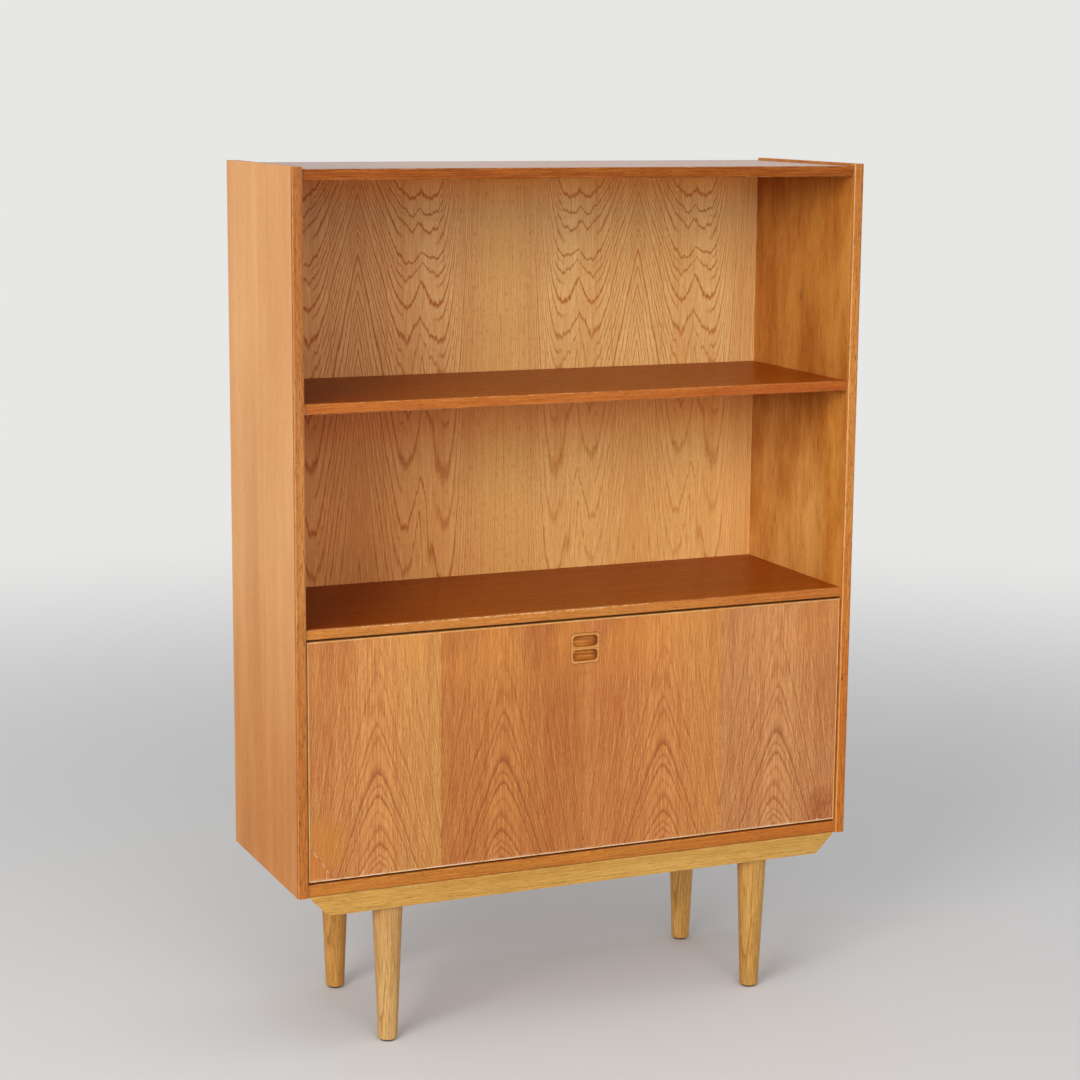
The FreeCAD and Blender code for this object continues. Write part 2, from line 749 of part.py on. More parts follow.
# The rod is drawn along Y from its eye, then turned down into line with its guide
def stay_rod(side):
    eye = round_bar("eye_" + side, "stay_eye_radius", "stay_eye_thickness",
                    "-1 * stay_eye_thickness / 2", "0", "0", "X")
    rod = round_bar("rod_" + side, "stay_rod_radius", "stop_start + stop_length", "0", "0", "0", "Y")
    hole = round_bar("eye_hole_" + side, "stay_rivet_radius + fit", "stay_eye_thickness + 2 * overrun",
                     "-1 * (stay_eye_thickness / 2 + overrun)", "0", "0", "X")
    cheeks = []
    for name, start in (("near", "-1 * (stay_rod_radius + overrun)"), ("far", "stay_eye_thickness / 2")):
        cheeks.append(block("cheek_%s_%s" % (name, side), start, "-1 * stay_eye_radius",
                            "-1 * stay_eye_radius",
                            "stay_rod_radius + overrun - stay_eye_thickness / 2",
                            "2 * stay_eye_radius + stay_ear_gap", "2 * stay_eye_radius"))
    solid = cut("rod_cut_" + side, joined("rod_solid_" + side, [eye, rod]), cheeks + [hole])
    tilted(solid)
    seat(solid, mirrored(side, "stay_x"), "stay_eye_y", "stay_eye_z")
    keep(solid, "stay_rod_" + side)


def stay_stop(side):
    nut = round_bar("stop_nut_" + side, "stop_radius", "stop_length", "0", "stop_start", "0", "Y")
    bore = round_bar("stop_bore_" + side, "stay_rod_radius + fit", "stop_length + 2 * overrun",
                     "0", "stop_start - overrun", "0", "Y")
    solid = cut("stop_" + side, nut, [bore])
    tilted(solid)
    seat(solid, mirrored(side, "stay_x"), "stay_eye_y", "stay_eye_z")
    keep(solid, "stay_stop_" + side)


def stay_guide(side):
    start = mirrored(side, "guide_inner - guide_length")
    drum = round_bar("guide_drum_" + side, "guide_radius", "guide_length", start, "0", "0", outward[side])
    bore = round_bar("guide_bore_" + side, "stay_rod_radius + fit", "2 * (guide_radius + overrun)",
                     "0", "-1 * (guide_radius + overrun)", "0", "Y")
    socket = round_bar("guide_socket_" + side, "post_radius + fit", "overrun + post_grip + post_end_room",
                       mirrored(side, "guide_inner + overrun"), "0", "0", inward[side])
    solid = cut("guide_cut_" + side, drum, [bore, socket])
    tilted(solid)
    seat(solid, mirrored(side, "stay_x"), "guide_y", "guide_z")
    keep(solid, "stay_guide_" + side)


def stay_post(side):
    flange = round_bar("post_flange_" + side, "post_flange_radius", "post_flange_thickness",
                       mirrored(side, "inner"), "guide_y", "guide_z", inward[side])
    stud = round_bar("post_stud_" + side, "post_radius", "post_flange_thickness + guide_stand + post_grip",
                     mirrored(side, "inner"), "guide_y", "guide_z", inward[side])
    solid = joined("post_solid_" + side, [flange, stud])
    keep(cut("post_" + side, solid, post_screws("post_hole", side, "fit")), "stay_post_" + side)


def stays():
    for side in sides:
        stay_bracket(side)
        stay_rivet(side)
        stay_rod(side)
        stay_stop(side)
        stay_guide(side)
        stay_post(side)
    screws = []
    for side in sides:
        screws += stay_foot_screws("foot_screw", side)
    keep(grouped("foot_screw_group", screws), "stay_bracket_screws")
    screws = []
    for side in sides:
        screws += post_screws("post_screw", side)
    keep(grouped("post_screw_group", screws), "stay_post_screws")


# Magnet catch, screwed under the fixed shelf, and the strike plate on the flap
def catch_screws(stem, grow="0"):
    found = []
    for name, way in (("left", "-1"), ("right", "1")):
        found.append(fitting_screw("%s_%s" % (stem, name), "%s * catch_screw_pitch / 2" % way,
                                   "strike_back + catch_depth / 2", "fixed_shelf - catch_foot", "Z", grow))
    return found


def strike_screws(stem, grow="0"):
    return [fitting_screw(stem, "0", "strike_back", "strike_bottom + strike_height / 2", "-Y", grow)]


def magnet_catch():
    wings = block("catch_wings", "-1 * catch_width / 2", "strike_back", "fixed_shelf - catch_foot",
                  "catch_width", "catch_depth", "catch_foot")
    case = block("catch_case_lump", "-1 * (magnet_width / 2 + catch_foot)", "strike_back",
                 "fixed_shelf - catch_height", "magnet_width + 2 * catch_foot", "catch_depth",
                 "catch_height")
    room = block("magnet_room", "-1 * magnet_width / 2", "strike_back - overrun",
                 "fixed_shelf - catch_height / 2 - magnet_height / 2", "magnet_width",
                 "overrun + magnet_depth", "magnet_height")
    keep(cut("catch_cut", joined("catch_solid", [wings, case]), [room] + catch_screws("catch_hole", "fit")),
         "catch_case")
    keep(block("magnet", "-1 * magnet_width / 2", "strike_back",
               "fixed_shelf - catch_height / 2 - magnet_height / 2",
               "magnet_width", "magnet_depth", "magnet_height"), "catch_magnet")
    keep(grouped("catch_screw_group", catch_screws("catch_screw")), "catch_screws")
    plate = block("strike_plain", "-1 * strike_width / 2", "flap_back", "strike_bottom",
                  "strike_width", "strike_thickness", "strike_height")
    keep(cut("strike_cut", plate, strike_screws("strike_hole", "fit")), "strike_plate")
    keep(grouped("strike_screw_group", strike_screws("strike_fixing")), "strike_screw")


# Base frame: long rails with undercut ends, and cross rails doweled between them
railFronts = {"front": "front_rail", "rear": "rear_rail"}
railLegs = {"front": "front_leg", "rear": "rear_leg"}


def frame_screws(stem, grow="0"):
    found = []
    for rail, middle in railLegs.items():
        for index, share in enumerate(frameScrewShares):
            found.append(frame_screw("%s_%s_%d" % (stem, rail, index), "rail_half * %s" % share, middle,
                                     "rail_bottom", "Z", grow))
    return found


def frame_dowels(stem, grow="0"):
    room = "0" if grow == "0" else "hole_end_room"
    found = []
    seams = {"front": "front_rail + rail_width", "rear": "rear_rail"}
    for side in sides:
        for rail, seam in seams.items():
            for index, share in enumerate(frameDowelShares):
                x = "%s + cross_rail_width * %s" % (mirrored(side, "leg_from_centre"), share - 0.5)
                found.append(round_bar("%s_%s_%s_%d" % (stem, side, rail, index),
                                       "frame_dowel_radius + " + grow,
                                       "2 * (frame_dowel_grip + %s)" % room, x,
                                       "%s - frame_dowel_grip - %s" % (seam, room),
                                       "rail_bottom + rail_height / 2", "Y"))
    return found


def leg_socket(stem, side, rail):
    return round_bar("%s_%s_%s" % (stem, side, rail), "spigot_radius + fit",
                     "overrun + spigot_length + hole_end_room", mirrored(side, "leg_from_centre"),
                     railLegs[rail], "rail_bottom - overrun", "Z")


def long_rail(rail):
    corners = [
        ("-1 * (rail_half - rail_undercut)", "0"), ("rail_half - rail_undercut", "0"),
        ("rail_half", "rail_height"), ("-1 * rail_half", "rail_height"),
    ]
    bar = profile_bar("rail_bar_" + rail, "XZ_Plane", corners, "rail_width", "0",
                      railFronts[rail] + " + rail_width", "rail_bottom")
    bores = [leg_socket("socket", side, rail) for side in sides]
    bores += frame_screws("rail_screw_bore_" + rail, "fit")
    bores += frame_dowels("rail_dowel_bore_" + rail, "fit")
    keep(cut("rail_" + rail, bar, bores), "base_rail_" + rail)


def cross_rail(side):
    bar = block("cross_bar_" + side, "%s - cross_rail_width / 2" % mirrored(side, "leg_from_centre"),
                "front_rail + rail_width", "rail_bottom", "cross_rail_width", "cross_length", "rail_height")
    keep(cut("cross_" + side, bar, frame_dowels("cross_bore_" + side, "fit")), "base_cross_rail_" + side)


def base_frame():
    for rail in railFronts:
        long_rail(rail)
    for side in sides:
        cross_rail(side)
    keep(grouped("frame_dowel_group", frame_dowels("frame_dowel")), "base_dowels")
    keep(grouped("frame_screw_group", frame_screws("base_screw")), "base_screws")


# A turned, tapered leg with a spigot for its rail and a hole for the glide's nail
def leg(side, rail):
    bore = "glide_nail_radius + fit"
    deep = "glide_nail_length + hole_end_room"
    high = "leg_length + spigot_length"
    corners = [
        (bore, "0"), ("leg_foot_radius", "0"), ("leg_top_radius", "leg_length"),
        ("spigot_radius", "leg_length"), ("spigot_radius", high), ("0", high), ("0", deep), (bore, deep),
    ]
    body = turned("leg_%s_%s" % (rail, side), corners, mirrored(side, "leg_from_centre"), railLegs[rail],
                  "glide_thickness")
    foot = reading("leg_foot_radius")
    rounded(body, "foot_round_%s_%s" % (rail, side), "leg_foot_round", lambda edge: is_ring(edge, 0, foot))
    top = reading("leg_top_radius")
    high_ring = reading("leg_length")
    rounded(body, "top_round_%s_%s" % (rail, side), "leg_top_round",
            lambda edge: is_ring(edge, high_ring, top))
    keep(body, "leg_%s_%s" % (rail, side))


def glide(side, rail):
    high = "glide_thickness + glide_nail_length"
    corners = [
        ("0", "0"), ("glide_radius", "0"), ("glide_radius", "glide_thickness"),
        ("glide_nail_radius", "glide_thickness"), ("glide_nail_radius", high), ("0", high),
    ]
    body = turned("glide_%s_%s" % (rail, side), corners, mirrored(side, "leg_from_centre"),
                  railLegs[rail], "0")
    rim = reading("glide_radius")
    rounded(body, "glide_round_%s_%s" % (rail, side), "glide_round", lambda edge: is_ring(edge, 0, rim))
    keep(body, "glide_%s_%s" % (rail, side))


for side in sides:
    side_panel(side)
    side_lipping(side)
carcass_boards()
back_sheet()
carcass_dowels()
shelf_pins()
loose_shelf()
flap()
finger_pull()
for side in sides:
    flap_pivots(side)
stays()
magnet_catch()
base_frame()
for rail in railFronts:
    for side in sides:
        leg(side, rail)
        glide(side, rail)

doc.recompute()
for thing in doc.Objects:
    if "Invalid" in thing.State or "Error" in thing.State:
        raise RuntimeError("%s is %s" % (thing.Name, thing.State))
os.makedirs("parts", exist_ok=True)
for thing in nodes:
    shape = thing.Shape
    if shape.isNull() or not shape.isValid() or not shape.Solids:
        raise RuntimeError("%s has no sound shape" % thing.Label)
    print("%-24s solids %2d  volume %12.1f" % (thing.Label, len(shape.Solids), shape.Volume))
    shape.exportStep("parts/" + thing.Label + ".step")
print(len(nodes), "nodes")
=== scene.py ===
import bpy, bmesh, json, math
from mathutils import Matrix, Vector

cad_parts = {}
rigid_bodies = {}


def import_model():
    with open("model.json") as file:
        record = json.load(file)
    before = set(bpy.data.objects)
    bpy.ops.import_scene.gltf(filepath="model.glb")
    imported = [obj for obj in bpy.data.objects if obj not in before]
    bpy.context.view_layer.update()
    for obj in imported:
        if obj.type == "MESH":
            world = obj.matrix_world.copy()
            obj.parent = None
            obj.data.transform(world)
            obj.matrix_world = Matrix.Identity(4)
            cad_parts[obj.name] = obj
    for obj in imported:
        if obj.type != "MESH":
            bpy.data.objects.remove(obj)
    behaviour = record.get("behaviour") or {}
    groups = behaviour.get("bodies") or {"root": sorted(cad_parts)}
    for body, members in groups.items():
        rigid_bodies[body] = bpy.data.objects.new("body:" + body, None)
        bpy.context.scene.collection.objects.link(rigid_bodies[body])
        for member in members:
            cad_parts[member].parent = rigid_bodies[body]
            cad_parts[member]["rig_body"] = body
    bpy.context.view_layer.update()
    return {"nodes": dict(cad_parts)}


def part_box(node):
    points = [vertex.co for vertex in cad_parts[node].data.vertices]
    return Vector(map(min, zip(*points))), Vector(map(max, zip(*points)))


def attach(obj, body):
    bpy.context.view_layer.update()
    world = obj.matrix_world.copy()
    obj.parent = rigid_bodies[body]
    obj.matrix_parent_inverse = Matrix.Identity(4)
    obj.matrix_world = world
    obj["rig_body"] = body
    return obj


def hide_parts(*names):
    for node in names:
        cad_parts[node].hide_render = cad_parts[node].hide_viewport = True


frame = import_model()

nodes = frame["nodes"]
nodeBody = {name: thing["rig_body"] for name, thing in nodes.items()}
print("frame loaded:", len(nodes), "pieces")


# shader helpers: each works in the node tree that its sockets belong to
def paint(red, green, blue):
    def straight(part):
        part /= 255
        return part / 12.92 if part <= 0.04045 else ((part + 0.055) / 1.055) ** 2.4
    return (straight(red), straight(green), straight(blue), 1)


def isSocket(thing):
    return isinstance(thing, bpy.types.NodeSocket)


def treeOf(things):
    return next(thing.id_data for thing in things if isSocket(thing))


def feed(sockets, inputs):
    for name, given in inputs.items():
        if isSocket(given):
            given.id_data.links.new(given, sockets[name])
        else:
            sockets[name].default_value = given


def place(tree, kind, inputs=None, **settings):
    made = tree.nodes.new(kind)
    for name, setting in settings.items():
        setattr(made, name, setting)
    feed(made.inputs, inputs or {})
    return made


def sums(operation, *terms, clamp=False):
    made = place(treeOf(terms), "ShaderNodeMath", dict(enumerate(terms)), operation=operation,
                 use_clamp=clamp)
    return made.outputs[0]


def times(first, *others, clamp=False):
    for each in others:
        first = sums("MULTIPLY", first, each, clamp=clamp)
    return first


def plus(first, second):
    return sums("ADD", first, second)


def less(first, second):
    return sums("SUBTRACT", first, second)


def over(first, second, clamp=False):
    return sums("DIVIDE", first, second, clamp=clamp)


def timesPlus(first, factor, added, clamp=False):
    return sums("MULTIPLY_ADD", first, factor, added, clamp=clamp)


def size(term):
    return sums("ABSOLUTE", term)


def smaller(first, second):
    return sums("MINIMUM", first, second)


def larger(first, second):
    return sums("MAXIMUM", first, second)


def vector(x, y, z):
    return place(treeOf((x, y, z)), "ShaderNodeCombineXYZ", {"X": x, "Y": y, "Z": z}).outputs[0]


def apart(where):
    return place(where.id_data, "ShaderNodeSeparateXYZ", {"Vector": where}).outputs


def vectorSums(operation, *terms, result="Vector"):
    inputs = dict(enumerate(terms))
    if operation == "SCALE":
        inputs = {0: terms[0], "Scale": terms[1]}
    return place(treeOf(terms), "ShaderNodeVectorMath", inputs, operation=operation).outputs[result]


def noise(where, scale=1.0, detail=2.0, roughness=0.5, result="Fac"):
    made = place(where.id_data, "ShaderNodeTexNoise", {"Vector": where, "Scale": scale, "Detail": detail,
                                                       "Roughness": roughness})
    return made.outputs[result]


def noiseAlong(way):
    return place(way.id_data, "ShaderNodeTexNoise", {"W": way, "Scale": 1.0, "Detail": 1.0},
                 noise_dimensions="1D").outputs


def stretchedNoise(where, scales, shift=(0, 0, 0), detail=4, roughness=0.7):
    return noise(vectorSums("MULTIPLY_ADD", where, scales, shift), 1, detail, roughness)


def soften(term, low, high, toLow=0.0, toHigh=1.0):
    made = place(term.id_data, "ShaderNodeMapRange", {"Value": term, "From Min": low, "From Max": high,
                                                      "To Min": toLow, "To Max": toHigh},
                 interpolation_type="SMOOTHSTEP")
    return made.outputs["Result"]


def blend(amount, first, second, mode="MIX"):
    made = place(treeOf((amount, first, second)), "ShaderNodeMix", {"Factor": amount, 6: first, 7: second},
                 data_type="RGBA", blend_type=mode)
    return made.outputs[2]


def tint(ground, tone, amount=1.0):
    return blend(amount, ground, tone, "MULTIPLY")


def lay(ground, mask, amount, tone):
    return blend(times(mask, amount), ground, paint(*tone))


def newGroup(name, inputs, results):
    tree = bpy.data.node_groups.new(name, "ShaderNodeTree")
    for label, start in inputs.items():
        kind = "NodeSocketFloat"
        if isinstance(start, tuple):
            kind = "NodeSocketColor" if len(start) == 4 else "NodeSocketVector"
        tree.interface.new_socket(label, in_out="INPUT", socket_type=kind).default_value = start
    for label in results:
        kind = "NodeSocketColor" if label == "Color" else "NodeSocketFloat"
        tree.interface.new_socket(label, in_out="OUTPUT", socket_type=kind)
    return tree, tree.nodes.new("NodeGroupInput").outputs, tree.nodes.new("NodeGroupOutput").inputs


def useGroup(group, inputs):
    return place(treeOf(inputs.values()), "ShaderNodeGroup", inputs, node_tree=group).outputs


# figure of oak: growth rings cut by the sheet, pores, fibre, streaks and clouds
grainNoise = {      # scale across, scale along, shift across, detail, roughness
    "wobble": (26, 9, 0, 2, 0.5), "ragged": (120, 15, 3, 4, 0.7), "broken": (420, 60, 7, 3, 0.7),
    "pores": (850, 90, 1, 2, 0.6), "fibre": (760, 13, 5, 3, 0.6), "grain": (430, 20, 4, 3, 0.7),
    "streak": (62, 1.1, 2, 3, 0.55), "cloud": (6, 2.4, 9, 2, 0.5), "flecks": (560, 80, 12, 3, 0.65),
}


# Crown Depth is how far the cut lies from the tree's heart. Rise moves the rings along the
# sheet, which turns them into arches; Hump pushes the middle of each arch the other way.
def buildOakFigure():
    tree, given, out = newGroup("oakFigure", {
        "Across": 0.0, "Along": 0.0, "Flow": 0.0, "Depth": 0.0, "Crown Depth": 0.1, "Rise": 0.0, "Hump": 0.0,
        "Hump Width": 0.02, "Ring Width": 0.004, "Line Width": 0.5, "Wander": 0.002, "Ragged": 0.0004,
        "Evenness": 0.35, "Unbroken": 0.25, "Between": 0.0, "Seed": 0.0,
    }, ("Lines", "Pores", "Fibre", "Grain", "Streak", "Cloud", "Flecks"))
    across, depth, seed = given["Across"], given["Depth"], given["Seed"]
    shifted, flowing = plus(given["Along"], seed), plus(given["Flow"], seed)

    def stretched(name, way=shifted):
        side, length, shift, detail, roughness = grainNoise[name]
        where = vector(timesPlus(across, side, shift), times(depth, side), times(way, length))
        return noise(where, 1, detail, roughness)

    # what bends the rings follows Flow, so it draws out wherever the arches do
    wobble = less(stretched("wobble", flowing), 0.5)
    ragged = less(stretched("ragged", flowing), 0.5)
    side = timesPlus(wobble, given["Wander"], across)
    deep = plus(given["Crown Depth"], depth)
    ring = sums("SQRT", plus(times(side, side), times(deep, deep)))
    # the hump wanders and changes height from ring to ring
    hills = noiseAlong(times(flowing, 11))
    sway = times(less(hills["Fac"], 0.5), given["Hump Width"])
    share = over(timesPlus(sway, 0.8, across), given["Hump Width"])
    bell = sums("EXPONENT", times(sums("POWER", size(share), 1.35), -1.0))
    tallness = place(tree, "ShaderNodeSeparateColor", {"Color": hills["Color"]}).outputs["Blue"]
    bell = times(bell, soften(tallness, 0.3, 0.7, 0.86, 1.14))
    ring = plus(timesPlus(bell, given["Hump"], ring), given["Rise"])
    ring = timesPlus(wobble, given["Wander"], ring)
    ring = timesPlus(ragged, times(given["Ragged"], 2), ring)
    count = over(ring, given["Ring Width"])
    count = timesPlus(noiseAlong(timesPlus(count, 0.37, seed))["Fac"], 1.2, count)

    def line(phase, start, end):
        return times(soften(phase, 0.0, start), soften(phase, start, end, 1.0, 0.0))

    # each ring starts sharply with its open pores and fades into denser wood
    early = line(sums("FRACT", count), 0.1, plus(given["Line Width"], 0.12))
    strength = place(tree, "ShaderNodeTexWhiteNoise", {"W": sums("FLOOR", count)},
                     noise_dimensions="1D").outputs["Value"]
    lines = times(early, soften(strength, 0.0, 1.0, given["Evenness"], 1.0))
    # beside the arches a finer line stands between each two rings
    finer = line(sums("FRACT", plus(count, 0.5)), 0.08, timesPlus(given["Line Width"], 0.6, 0.1))
    finer = times(finer, soften(size(share), 0.9, 1.7))
    lines = larger(lines, times(finer, given["Between"]))
    lines = times(lines, soften(stretched("broken"), 0.3, 0.6, given["Unbroken"], 1.0))
    pores = times(soften(stretched("pores"), 0.54, 0.66), timesPlus(early, 0.7, 0.3))
    feed(out, {"Lines": lines, "Pores": pores, "Fibre": stretched("fibre"), "Grain": stretched("grain"),
               "Streak": stretched("streak"), "Cloud": stretched("cloud"),
               "Flecks": soften(stretched("flecks"), 0.54, 0.68)})
    return tree


oakFigure = buildOakFigure()


# tone of oak: the figure's masks turned into colour, roughness and height
def buildOakTone():
    tree, given, out = newGroup("oakTone", {
        "Pale": (0.6, 0.4, 0.2, 1), "Warm": (0.5, 0.3, 0.12, 1), "Line Colour": (0.3, 0.12, 0.03, 1),
        "Lines": 0.0, "Pores": 0.0, "Fibre": 0.5, "Grain": 0.5, "Streak": 0.5, "Cloud": 0.5, "Flecks": 0.0,
        "Line Strength": 0.6, "Pore Strength": 0.5, "Fibre Strength": 0.3, "Grain Strength": 0.5,
        "Streak Strength": 0.6, "Cloud Strength": 0.6, "Fleck Strength": 0.0, "Base Roughness": 0.42,
    }, ("Color", "Roughness", "Height"))
    streak, cloud, grain = (times(less(given[mask], 0.5), given[mask + " Strength"])
                            for mask in ("Streak", "Cloud", "Grain"))
    warmth = plus(timesPlus(streak, 2.2, 0.5), times(cloud, 2.2))
    warmth = timesPlus(grain, 2.6, warmth, clamp=True)
    ground = blend(warmth, given["Pale"], given["Warm"])
    dark = blend(0.3, given["Line Colour"], (0, 0, 0, 1))
    for masks, mask, tone in (("Lines", "Line", given["Line Colour"]), ("Pores", "Pore", dark),
                              ("Flecks", "Fleck", dark)):
        amount = times(given[masks], given[mask + " Strength"], clamp=True)
        ground = blend(amount, ground, tone)
    fibre = timesPlus(less(given["Fibre"], 0.5), given["Fibre Strength"], 1.0)
    light = place(tree, "ShaderNodeCombineColor", {"Red": fibre, "Green": fibre, "Blue": fibre}).outputs[0]
    rough = timesPlus(given["Pores"], 0.25, given["Base Roughness"])
    height = timesPlus(given["Pores"], -1.0, times(given["Fibre"], 0.25))
    feed(out, {"Color": tint(ground, light), "Roughness": timesPlus(given["Fibre"], 0.08, rough),
               "Height": timesPlus(given["Lines"], -0.35, height)})
    return tree


oakTone = buildOakTone()


# wear along the edges of a box-like piece, broken up by noise
def buildEdgeWear():
    tree, given, out = newGroup("edgeWear", {
        "Place": (0.0, 0.0, 0.0), "Low": (0.0, 0.0, 0.0), "High": (1.0, 1.0, 1.0), "Reach": 0.0015,
        "Break Up": 0.5, "Seed": 0.0,
    }, ("Wear",))
    spot, low, high = apart(given["Place"]), apart(given["Low"]), apart(given["High"])
    gaps = [smaller(less(spot[index], low[index]), less(high[index], spot[index])) for index in range(3)]
    # the second smallest of the three gaps is the distance from an edge
    middle = larger(smaller(gaps[0], gaps[1]), smaller(larger(gaps[0], gaps[1]), gaps[2]))
    rough = noise(vectorSums("ADD", given["Place"], vector(given["Seed"], 0.0, 0.0)), 70, 4, 0.65)
    reach = times(given["Reach"], soften(rough, 0.35, 0.7, 0.3, 1.6))
    near = soften(over(middle, reach), 0.0, 1.0, 1.0, 0.0)
    start = times(given["Break Up"], 0.8)
    feed(out, {"Wear": times(near, soften(rough, start, plus(start, 0.14)))})
    return tree


edgeWear = buildEdgeWear()


# a scratch or crack from one point to another on a face
def buildScratch():
    tree, given, out = newGroup("scratch", {
        "Across": 0.0, "Along": 0.0, "From": (0.0, 0.0, 0.0), "To": (1.0, 0.0, 0.0), "Width": 0.0005,
        "Ragged": 0.001,
    }, ("Mask",))
    here = vector(given["Across"], given["Along"], 0.0)
    bent = vectorSums("SUBTRACT", noise(here, 90, 3, result="Color"), (0.5, 0.5, 0.5))
    here = vectorSums("ADD", here, vectorSums("SCALE", bent, given["Ragged"]))
    here = vectorSums("MULTIPLY", here, (1, 1, 0))
    way = vectorSums("SUBTRACT", given["To"], given["From"])
    gone = vectorSums("SUBTRACT", here, given["From"])
    part = over(vectorSums("DOT_PRODUCT", gone, way, result="Value"),
                vectorSums("DOT_PRODUCT", way, way, result="Value"), clamp=True)
    away = vectorSums("DISTANCE", gone, vectorSums("SCALE", way, part), result="Value")
    feed(out, {"Mask": soften(over(away, given["Width"]), 0.5, 1.0, 1.0, 0.0)})
    return tree


scratch = buildScratch()


# a rounded rectangle on a face: Inside fills it, Line follows its edge
def buildPatch():
    tree, given, out = newGroup("patch", {
        "Across": 0.0, "Along": 0.0, "Middle": (0.0, 0.0, 0.0), "Half": (0.01, 0.01, 0.0), "Corner": 0.0,
        "Softness": 0.0005, "Line Width": 0.0004,
    }, ("Inside", "Line"))
    middle, half = apart(given["Middle"]), apart(given["Half"])
    reach = [less(size(less(given[label], middle[index])), less(half[index], given["Corner"]))
             for index, label in enumerate(("Across", "Along"))]
    outer = [larger(each, 0.0) for each in reach]
    corner = sums("SQRT", plus(times(outer[0], outer[0]), times(outer[1], outer[1])))
    inner = smaller(larger(reach[0], reach[1]), 0.0)
    distance = less(plus(corner, inner), given["Corner"])
    feed(out, {"Inside": soften(over(distance, given["Softness"]), -1.0, 1.0, 1.0, 0.0),
               "Line": soften(over(size(distance), given["Line Width"]), 0.4, 1.0, 1.0, 0.0)})
    return tree


patch = buildPatch()


# fine scratches, haze and specks on metal and plastic
def buildHandling():
    tree, given, out = newGroup("handling", {"Place": (0.0, 0.0, 0.0), "Grain Size": 0.001, "Seed": 0.0},
                                ("Haze", "Hairlines", "Specks"))
    shifted = vectorSums("ADD", given["Place"], vector(given["Seed"], 0.0, 0.0))
    spot = vectorSums("SCALE", shifted, over(1.0, given["Grain Size"]))
    drawn = vectorSums("MULTIPLY", spot, (1.0, 1.0, 0.06))
    feed(out, {"Haze": noise(shifted, 60, 3, 0.6), "Hairlines": noise(drawn, 1.6, 2, 0.5),
               "Specks": soften(noise(spot, 0.9, 2, 0.7), 0.66, 0.74)})
    return tree


handling = buildHandling()


def newMaterial(name):
    made = bpy.data.materials.new(name)
    made.use_nodes = True
    tree = made.node_tree
    tree.nodes.clear()
    shader = place(tree, "ShaderNodeBsdfPrincipled")
    place(tree, "ShaderNodeOutputMaterial", {"Surface": shader.outputs[0]})
    return made, shader, place(tree, "ShaderNodeTexCoord").outputs["Object"]


def bumpFrom(height, distance, strength):
    return place(height.id_data, "ShaderNodeBump", {"Height": height, "Distance": distance,
                                                    "Strength": strength}).outputs[0]


# oak for one piece: what a piece's own look doesn't say is taken from plainOak
plainOak = {
    "heartOffset": 0.0, "crownDepth": 0.1, "lineWidth": 0.5, "wander": 0.002, "ragged": 0.0004,
    "evenness": 0.35, "unbroken": 0.25, "between": 0.0, "lines": 0.5, "pores": 0.5, "fibre": 0.3,
    "grain": 0.5, "streak": 0.5, "cloud": 0.5, "flecks": 0.0, "wear": 0.5, "wearReach": 0.0015,
    "wearBreak": 0.5, "wearRoughness": 0.15, "worn": (232, 188, 140), "roughness": 0.4, "shine": 0.22,
    "bump": 0.0002, "bumpStrength": 0.35,
}
ringInputs = {"Crown Depth": "crownDepth", "Ring Width": "ringWidth", "Line Width": "lineWidth",
              "Wander": "wander", "Ragged": "ragged", "Evenness": "evenness", "Unbroken": "unbroken",
              "Between": "between", "Seed": "seed"}
toneInputs = {"Line Strength": "lines", "Pore Strength": "pores", "Fibre Strength": "fibre",
              "Grain Strength": "grain", "Streak Strength": "streak", "Cloud Strength": "cloud",
              "Fleck Strength": "flecks", "Base Roughness": "roughness"}
toneColours = {"Pale": "pale", "Warm": "warm", "Line Colour": "line"}


# `axes` names the directions across the grain, along it and into the wood
def oakMaterial(name, look, axes, edged=False, crown=None, marks=None):
    look = {**plainOak, **look}
    made, shader, where = newMaterial(name + "_oak")
    spot = apart(where)
    across, along, depth = (spot[letter] for letter in axes)
    rings = {label: look[key] for label, key in ringInputs.items()}
    rings.update({"Across": plus(across, look["heartOffset"]), "Along": along, "Flow": along,
                  "Depth": depth})
    tones = {label: look[key] for label, key in toneInputs.items()}
    tones.update({label: paint(*look[key]) for label, key in toneColours.items()})
    if crown:
        arches, tones["Line Strength"] = crown(across, along, depth)
        rings.update(arches)
    tone = useGroup(oakTone, {**tones, **dict(useGroup(oakFigure, rings).items())})
    ground, rough = tone["Color"], tone["Roughness"]
    if edged:
        low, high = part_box(name)
        wear = useGroup(edgeWear, {"Place": where, "Low": tuple(low), "High": tuple(high),
                                   "Reach": look["wearReach"], "Break Up": look["wearBreak"],
                                   "Seed": look["seed"]})["Wear"]
        ground = lay(ground, wear, look["wear"], look["worn"])
        rough = timesPlus(wear, look["wearRoughness"], rough)
    if marks:
        ground = marks(where, ground)
    feed(shader.inputs, {"Base Color": ground, "Roughness": rough, "Specular IOR Level": look["shine"],
                         "Normal": bumpFrom(tone["Height"], look["bump"], look["bumpStrength"])})
    return made


# pieces shown in place of their nodes with softened edges
softening = {"sharpFrom": 24, "segments": 2, "shadeSharpFrom": 50, "flat": 0.5, "weld": 1e-6, "onBox": 1e-5}


